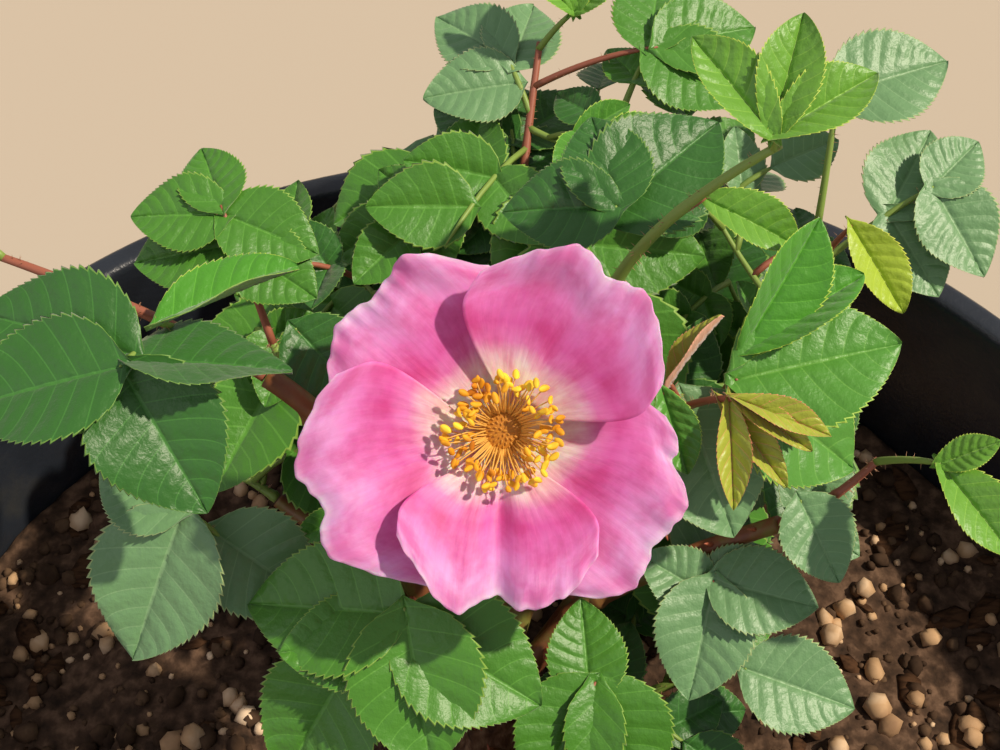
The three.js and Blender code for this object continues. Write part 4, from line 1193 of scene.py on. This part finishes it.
def leaflet_columns(spec):
    """Shares of the half width round a leaflet, its upper face first, and which of them lie below."""
    half = np.array(spec["columns"])
    top = np.concatenate([-half[:0:-1], half])
    under = np.array(spec["under"] + [-a for a in spec["under"][-2::-1]])
    return np.concatenate([top, under])[None, :], (np.arange(len(top) + len(under)) >= len(top))[None, :]


def leaflet_slots(begins, ring, middle):
    """Looks of the quads: 0 the blade, 1 its margin, 2 its veins and 3 its underside."""
    row, column = np.divmod(np.arange((len(begins) - 1) * ring), ring)
    slot = np.zeros(len(row), int)
    slot[(column == middle - 1) | (column == middle) | begins.ravel()[row]] = 2
    slot[(column == 0) | (column == 2 * middle - 1)] = 1
    slot[column >= 2 * middle] = 3
    return slot


def leaflet(length, kind, detail, rng):
    """Points, face groups and map of a leaflet that lies along +X with its upper face to +Z."""
    spec = DETAIL[detail]
    u, tooth, quilt, begins = leaflet_rows(spec)
    a, below = leaflet_columns(spec)
    edge = np.abs(a)
    body = np.sin(math.pi * u)
    ahead = u + RELIEF["shear"] * edge * body * (0.75 + 0.25 * edge)
    s = np.clip(ahead + 0.2 * (tooth - 0.5) * RELIEF["tooth"] * edge ** 8 * body, 0, 1)
    fade = np.sin(math.pi * np.clip(u + 0.1, 0, 1)) ** 0.5
    teeth = 1 + RELIEF["tooth"] * (tooth - 0.6) * edge ** 10 * fade
    across = a * (length * kind["width"] * np.maximum(outline(s, kind["shape"]), 0.012) * teeth)
    phase = rng.uniform(0, 2 * math.pi, 2)
    z = np.abs(across) * math.tan(math.radians(kind["fold"])) - kind["curl"] * length * s * s
    z = z + RELIEF["wave"] * length * edge ** 2 * np.sin(2 * math.pi * (1.4 * s + a * 0.25) + phase[0])
    cells = np.sin(edge * 26 + 5 * np.sin(u * 33 + phase[1])) * np.sin(u * 88 + edge * 9)
    quilting = RELIEF["quilt"] * edge ** 0.6 * body ** 0.4 + RELIEF["cell"] * cells
    z = z + quilt * quilting * (1 - edge ** 3) - RELIEF["groove"] * np.exp(-((edge / 0.045) ** 2))
    z = z - below * LEAF["thick"] * (1 - 0.5 * edge ** 6)
    grid = np.stack([length * s, -across, z], axis=-1)
    points, quads, ends = capped(grid, [grid[0].mean(0), grid[-1].mean(0)])
    uv = np.stack([0.5 + 0.5 * a + 0 * u, s], axis=-1).reshape(-1, 2)
    uv = np.concatenate([uv, [[0.5, 0], [0.5, 1]]])
    slots = leaflet_slots(begins, a.shape[1], len(spec["columns"]) - 1)
    return points, [(quads[:, ::-1], slots), (ends[:, ::-1], 1)], uv


def leaflet_plan(root, direction, roll, length, kind):
    """A leaflet that leaves its stalk in one direction, with its face to the light, then rolled."""
    face = turned(upward(direction), direction, roll)
    return {
        "frame": np.stack([direction, np.cross(face, direction), face]), "kind": kind, "length": length,
        "start": root - direction * LEAF["sink"], "shingle": 0, "lift": 0,
    }


def upward(direction):
    """The way that a face along a direction turns to the light."""
    facing = np.array(LEAF["facing"])
    return unit(facing - direction * np.dot(facing, direction))


def leaflet_at(plan, points):
    return points @ plan["frame"] + plan["start"]


def shingled(plan):
    """The leaflet rolled so that its front margin passes over the one before it, and lifted."""
    direction, side, face = plan["frame"]
    frame = np.stack([direction, *(turned(axis, direction, plan["shingle"]) for axis in (side, face))])
    return dict(plan, frame=frame, start=plan["start"] + face * plan["lift"])


def placed_leaf(twig, row):
    share, tip, kind, leaflets = row
    base, end = bezier(twig, share)[0], np.array(tip, float)
    whole = np.linalg.norm(end - base)
    stalk = [base, (base + end) / 2 + [0, 0, 0.12 * whole], end]
    plans = []
    for back, azimuth, rise, length, roll in leaflets:
        root = bezier(stalk, max(0.1, 1 - back / whole))[0]
        plans.append(leaflet_plan(root, heading(azimuth, rise), roll, length, kind))
    return {"stalk": stalk, "leaflets": plans, "kind": kind, "tint": kind}


def free_leaf(base, azimuth, rise, length, roll, pairs, size, droop, kind):
    tip = base + heading(azimuth, rise) * length - [0, 0, droop * length]
    stalk = [base, base + heading(azimuth, rise + PINNATE["arch"]) * length * 0.5, tip]
    plans = [leaflet_plan(tip, bezier_direction(stalk, 1)[0], roll, size, kind)]
    plans[0]["lift"] = LAYER
    (wide, wider), (full, less) = PINNATE["spread"], PINNATE["size"]
    for k in range(1, pairs + 1):
        share = 1 - k * PINNATE["reach"] / (pairs + 0.2)
        root, along = bezier(stalk, share)[0], bezier_direction(stalk, share)[0]
        up = turned(upward(along), along, roll)
        for side in (-1, 1):
            direction = turned(along, up, side * (wide + wider * k))
            plans.append(leaflet_plan(root, direction, roll, size * (full - less * k), kind))
            plans[-1]["shingle"] = side * SHINGLE
    return {"stalk": stalk, "leaflets": plans, "kind": kind, "tint": kind}


def drawn_leaf(twig, seed, k, pairs, rule, draw):
    """One try of a leaf on a twig, by numbers in the order in which the part's source draws them."""
    def pick(name):
        least, span = rule[name]
        return least + span * draw()

    size = pick("size")
    base = bezier(twig, pick("place"))[0]
    azimuth, rise = seed * rule["step"] + k * TURN_STEP + 30 * draw(), pick("rise")
    length, roll, droop = size * pick("length"), rule["roll"] * (draw() - 0.5), rule["droop"] * draw()
    young = rule["mature"] < 1 and draw() > rule["mature"]
    return free_leaf(base, azimuth, rise, length, roll, pairs, size, droop, "young" if young else "mature")


def on_blade(plan, s, side):
    """Points of a leaflet at shares of its length and of its half width."""
    kind, length = KINDS[plan["kind"]], plan["length"] + LEAF["sink"]
    across = side * length * kind["width"] * outline(s)
    z = np.abs(across) * math.tan(math.radians(kind["fold"])) - kind["curl"] * length * s * s
    return leaflet_at(plan, np.stack([length * s, across, z], axis=-1))


def touch_points(plan):
    """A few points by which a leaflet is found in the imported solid, or kept off its neighbours."""
    return on_blade(plan, *np.array(TOUCH, float))


def dense_points(plan):
    """Points all over a leaflet."""
    return on_blade(plan, *(values.ravel() for values in np.meshgrid(*DENSE)))


def tree_of(*nodes):
    """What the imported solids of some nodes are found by, in metres."""
    points, faces = [], []
    for node in nodes:
        mesh = frame["nodes"][node].data
        faces += [tuple(v + len(points) for v in polygon.vertices) for polygon in mesh.polygons]
        points += [vertex.co[:] for vertex in mesh.vertices]
    return BVHTree.FromPolygons(points, faces)


class Views:
    """What no finer leaf may hide: the bloom and the leaves with a place of their own."""

    def __init__(self, plans, bloom):
        points, faces = [], []
        for plan in plans:
            touch = touch_points(plan)
            faces.append([len(points) + k for k in (6, 1, 3, 5, 4, 2)])
            points += [tuple(p * MM) for p in touch] + [tuple(plan["start"] * MM)]
        self.trees = [BVHTree.FromPolygons(points, faces), bloom]

    def hit(self, point, ahead):
        rays = (tree.ray_cast(Vector(point * MM), Vector(ahead), 0.2) for tree in self.trees)
        return any(place is not None for place, *_ in rays)


def carried(tree, plan):
    """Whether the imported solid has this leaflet."""
    return all(tree.find_nearest(Vector(p * MM), 0.9 * MM)[0] is not None for p in touch_points(plan)[:5])


# Growth

def in_oval(x, y, oval):
    (a, b), (c, d) = oval["middle"], oval["reach"]
    return ((x - a) / c) ** 2 + ((y - b) / d) ** 2 < FINER["crown"]


def inside_crown(x, y, z):
    back, near = CROWN["back"], CROWN["near"]
    front = back["foot"] + back["slope"] * y
    edge = back["peak"][2] - math.hypot(x - back["peak"][0], y - back["peak"][1])
    near_top = near["top"] - near["slope"] * max(0, y - near["middle"][1])
    return (in_oval(x, y, back) and z < min(front, edge)) or (in_oval(x, y, near) and z < near_top)


def in_the_open(points):
    """Off the soil and the pot's wall, inside the crown and clear of the bloom."""
    turn = bloom_turn()
    for x, y, z in points:
        if z < SOIL["level"] + KEEP_OFF["soil"] or not inside_crown(x, y, z):
            return False
        wall = pot_inner_radius(z) - KEEP_OFF["wall"]
        if z < POT["height"] + KEEP_OFF["rim"] and math.hypot(x, y) > wall:
            return False
        across, up, ahead = (np.array([x, y, z]) - BLOOM["centre"]) @ turn
        cone = KEEP_OFF["bloom"] + ahead * KEEP_OFF["cone"]
        if ahead > -KEEP_OFF["behind_bloom"] and math.hypot(across, up) < cone:
            return False
    return True


def seen_at(point):
    """Where the photo shows a point, in pixels."""
    e = math.radians(VIEW["down"])
    off = np.asarray(point, float) - VIEW["place"]
    depth = off[1] * math.cos(e) - off[2] * math.sin(e)
    up = off[1] * math.sin(e) + off[2] * math.cos(e)
    width, height = VIEW["pixels"]
    focal = VIEW["lens"] / VIEW["sensor"] * width
    return width / 2 + focal * off[0] / depth, height / 2 - focal * up / depth


def inside(x, y, box, margin):
    left, top, right, bottom = box
    return left - margin < x < right + margin and top - margin < y < bottom + margin


def hides_nothing(points, heroes):
    """Whether the photo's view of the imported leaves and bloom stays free, and its open ground open."""
    for point in points:
        x, y = seen_at(point)
        if not inside(x, y, (0, 0, *VIEW["pixels"]), VIEW_MARGIN):
            continue
        if any(inside(x, y, box, OPEN_MARGIN) for box in OPEN_TO_VIEW):
            return False
        if heroes.hit(point, unit(point - np.array(VIEW["place"]))):
            return False
    return True


class Neighbours:
    """Points of what has grown so far, so that new leaves keep off them."""

    def __init__(self):
        self.points = np.zeros((0, 3))

    def add(self, points):
        self.points = np.concatenate([self.points, points])

    def clear(self, points, gap):
        near = self.points[np.abs(self.points - points.mean(0)).max(1) < 40]
        return np.linalg.norm(near[None] - points[:, None], axis=2).min(initial=math.inf) > gap


def start_twig(bough, way):
    azimuth, rise, length = way
    curve = limbs[bough]
    along = bezier_direction(curve, 1)[0]
    start = bezier(curve, 1)[0] + along * GAP
    return [start, start + along * length * 0.4, start + heading(azimuth, rise) * length]


def shortened(twig, starts):
    """The twig as far as the last leaf or finer twig that it carries."""
    shares = np.linspace(0, 1, 60)
    line = bezier(twig, shares)
    reach = 0.02 + max([shares[np.linalg.norm(line - start, axis=1).argmin()] for start in starts])
    return [twig[0], twig[0] + (twig[1] - twig[0]) * reach, bezier(twig, reach)[0]]


def finer_twigs(twig, seed, shares):
    """Side twigs that turn round a limb one after the other."""
    draw, made = seeded(seed * 101 + 7), []
    for k, share in enumerate(shares):
        base = bezier(twig, share)[0]
        azimuth, rise = seed * 61 + k * TURN_STEP + 40 * draw(), 10 + 40 * draw()
        length = FINER["length"] * (0.7 + 0.6 * draw())
        bend = base + heading(azimuth, rise - 12) * length * 0.5
        made.append([base, bend, base + heading(azimuth, rise) * length])
    return made


def grow_finer(limb, seed, shares, solids, heroes, neighbours):
    """Finer twigs with their leaves: only those with room for a leaf are kept."""
    twigs, leaves = [], []
    least, share = FINER["least_kept"]
    for number, finer in enumerate(finer_twigs(limb, seed, shares)):
        line = bezier(finer, [0.3, 0.6, 1])
        if not in_the_open(line[1:]) or not hides_nothing(line, heroes):
            continue
        draw = seeded(seed * 997 + number)
        kept = []
        for k in range(FINER["tries"]):
            leaf = drawn_leaf(finer, seed, k, 1 + k % 2, RULES["finer"], draw)
            stalk = bezier(leaf["stalk"], [0.5, 1])
            if not in_the_open(stalk) or not hides_nothing(stalk, heroes):
                continue
            room = [plan for plan in leaf["leaflets"] if has_room(plan, solids, heroes, neighbours)]
            if len(room) < max(least, len(leaf["leaflets"]) * share):
                continue
            neighbours.add(np.concatenate([dense_points(plan) for plan in room]))
            kept.append(dict(leaf, leaflets=room))
        if kept:
            twigs.append(shortened(finer, [leaf["stalk"][0] for leaf in kept]))
            leaves += kept
    return twigs, leaves


def has_room(plan, solids, heroes, neighbours):
    points, dense = touch_points(plan), dense_points(plan)
    if not in_the_open(points) or not neighbours.clear(dense, FINER["clear"]):
        return False
    if any(solids.find_nearest(Vector(p * MM), FINER["clear"] * MM)[0] is not None for p in dense):
        return False
    return hides_nothing(np.concatenate([points, dense]), heroes)


def add_stalk(piece, curve, slot, detail, rng):
    radius = LEAF["stalk_radius"]

    def radius_at(t):
        return radius * (1 - 0.38 * t) * (1 - 0.6 * smooth((t - 0.85) / 0.15))

    add_tube(piece, curve, radius_at, TUBES[detail], slot)
    for _ in range(HAIRS["stalk"] if detail == "placed" else 0):
        at, _, out = spot_on(curve, rng.random(), rng)
        tip = at + out * (radius + rng.uniform(*HAIRS["length"]))
        add_spike(piece, at + out * radius * 0.6, tip, HAIRS["radius"], 2)


def add_leaf(blades, twigs, leaf, detail, rng):
    names = DEALT.get(leaf["tint"], [leaf["tint"]])
    first = len(LEAF_ROUGH) * list(TINTS).index(names[rng.integers(len(names))])
    red = 1 if leaf["kind"] == "bronze" or rng.random() < RED_STALKS else 0
    add_stalk(twigs, leaf["stalk"], red, detail, rng)
    for plan in leaf["leaflets"]:
        kind = dict(KINDS[plan["kind"]])
        kind["width"] *= SLENDER[plan["kind"]]
        points, groups, uv = leaflet(plan["length"] + LEAF["sink"] - SHORTER, kind, detail, rng)
        groups = [(faces, np.asarray(slot) + first) for faces, slot in groups]
        blades.add(leaflet_at(shingled(plan), points), groups, uv)


def foliage_looks():
    looks = []
    for name, colours in TINTS.items():
        for (part, rough), colour in zip(LEAF_ROUGH.items(), colours):
            shader = Shader("leaf_" + name + "_" + part, colour, rough)
            shader.set({"Sheen Weight": LEAF_SHEEN})
            shader.bump(shader.noise(shader.place(), 700, 4), 0.0003, 0.8)
            looks.append(shader.material)
    return looks


def grown_mass(name, bough, way, seeds, own):
    """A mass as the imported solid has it: its twig, its placed leaves and its free ones."""
    (seed, free), twig = seeds, start_twig(bough, way)
    placed = [placed_leaf(twig, row) for row in own]
    for number, leaf in enumerate(placed):
        leaf["tint"] = OWN_TINTS.get(name, {}).get(number, leaf["kind"])
        for each, plan in enumerate(leaf["leaflets"]):
            plan["lift"] = -LOWERED.get((name, number, each), 0)
    tree, draw, kept = tree_of(name), seeded(seed), []
    for k in range(FREE_TRIES if free else 0):
        leaf = drawn_leaf(twig, seed, k, 2, RULES["free"], draw)
        leaf["leaflets"] = [plan for plan in leaf["leaflets"] if carried(tree, plan)]
        if len(leaf["leaflets"]) >= 3:
            kept.append(leaf)
    return {"name": name, "bough": bough, "seed": seed, "twig": twig, "placed": placed, "free": kept[:free]}


def dress_mass(mass, finer, starts, fine_leaves, looks, rng):
    """Builds the two pieces of a mass: its blades, and its twigs with their stalks."""
    name, seed = mass["name"], mass["seed"]
    blades, twigs = (Piece(name.replace("leaves", kind)) for kind in ("foliage", "twigs"))
    radius = taper(LEAF["twig_radius"] * 0.75, LEAF["twig_radius"] * 0.45)
    bare = shortened(mass["twig"], [leaf["stalk"][0] for leaf in mass["placed"] + mass["free"]] + starts)
    add_tube(twigs, bare, radius, TUBES["twig"], seed % 2, bark_relief(seed, 3, 0.03, 2))
    add_bristles(twigs, bare, radius, HAIRS["twig"], seed, HAIRS["twig_length"])
    for curve in finer:
        add_tube(twigs, curve, taper(FINER["radius"], FINER["radius"] * 0.6), TUBES["finer"])
    for leaf in mass["placed"]:
        add_leaf(blades, twigs, leaf, "placed", rng)
    for leaf in mass["free"] + fine_leaves:
        add_leaf(blades, twigs, leaf, "free", rng)
    blades.build(looks["blade"], "leaf", name)
    twigs.build(looks["twig"], "leaf", name)


def make_masses(rng):
    looks = {"blade": foliage_looks(), "twig": looks_of("leaf_stalk", "red_stalk", "hair")}
    bloom = ["hip_and_sepals", "stamens", "cane_bloom"] + [petal[0] for petal in PETALS]
    solids = tree_of(*bloom, *(row[0] for row in MASSES + BOUGHS))
    masses = [grown_mass(*row) for row in MASSES]
    placed = [plan for mass in masses for leaf in mass["placed"] for plan in leaf["leaflets"]]
    heroes = Views(placed, tree_of(*bloom))
    neighbours = Neighbours()
    for mass in masses:
        seed, rest = mass["seed"], (solids, heroes, neighbours)
        finer, fine_leaves = grow_finer(mass["twig"], seed, FINER["shares"], *rest)
        bough = limbs[mass["bough"]]
        more, more_leaves = grow_finer(bough, seed + FINER["bough_seed"], FINER["bough_shares"], *rest)
        starts = [curve[0] for curve in finer]
        dress_mass(mass, finer + more, starts, fine_leaves + more_leaves, looks, rng)


look_from_the_photo()
set_the_stage()
chance = np.random.default_rng(292)
make_pot()
make_soil(chance)
make_limbs()
petal_skin = petal_look()
for each in PETALS:
    make_petal(each, petal_skin)
make_stamens(chance)
make_calyx(chance)
make_masses(chance)
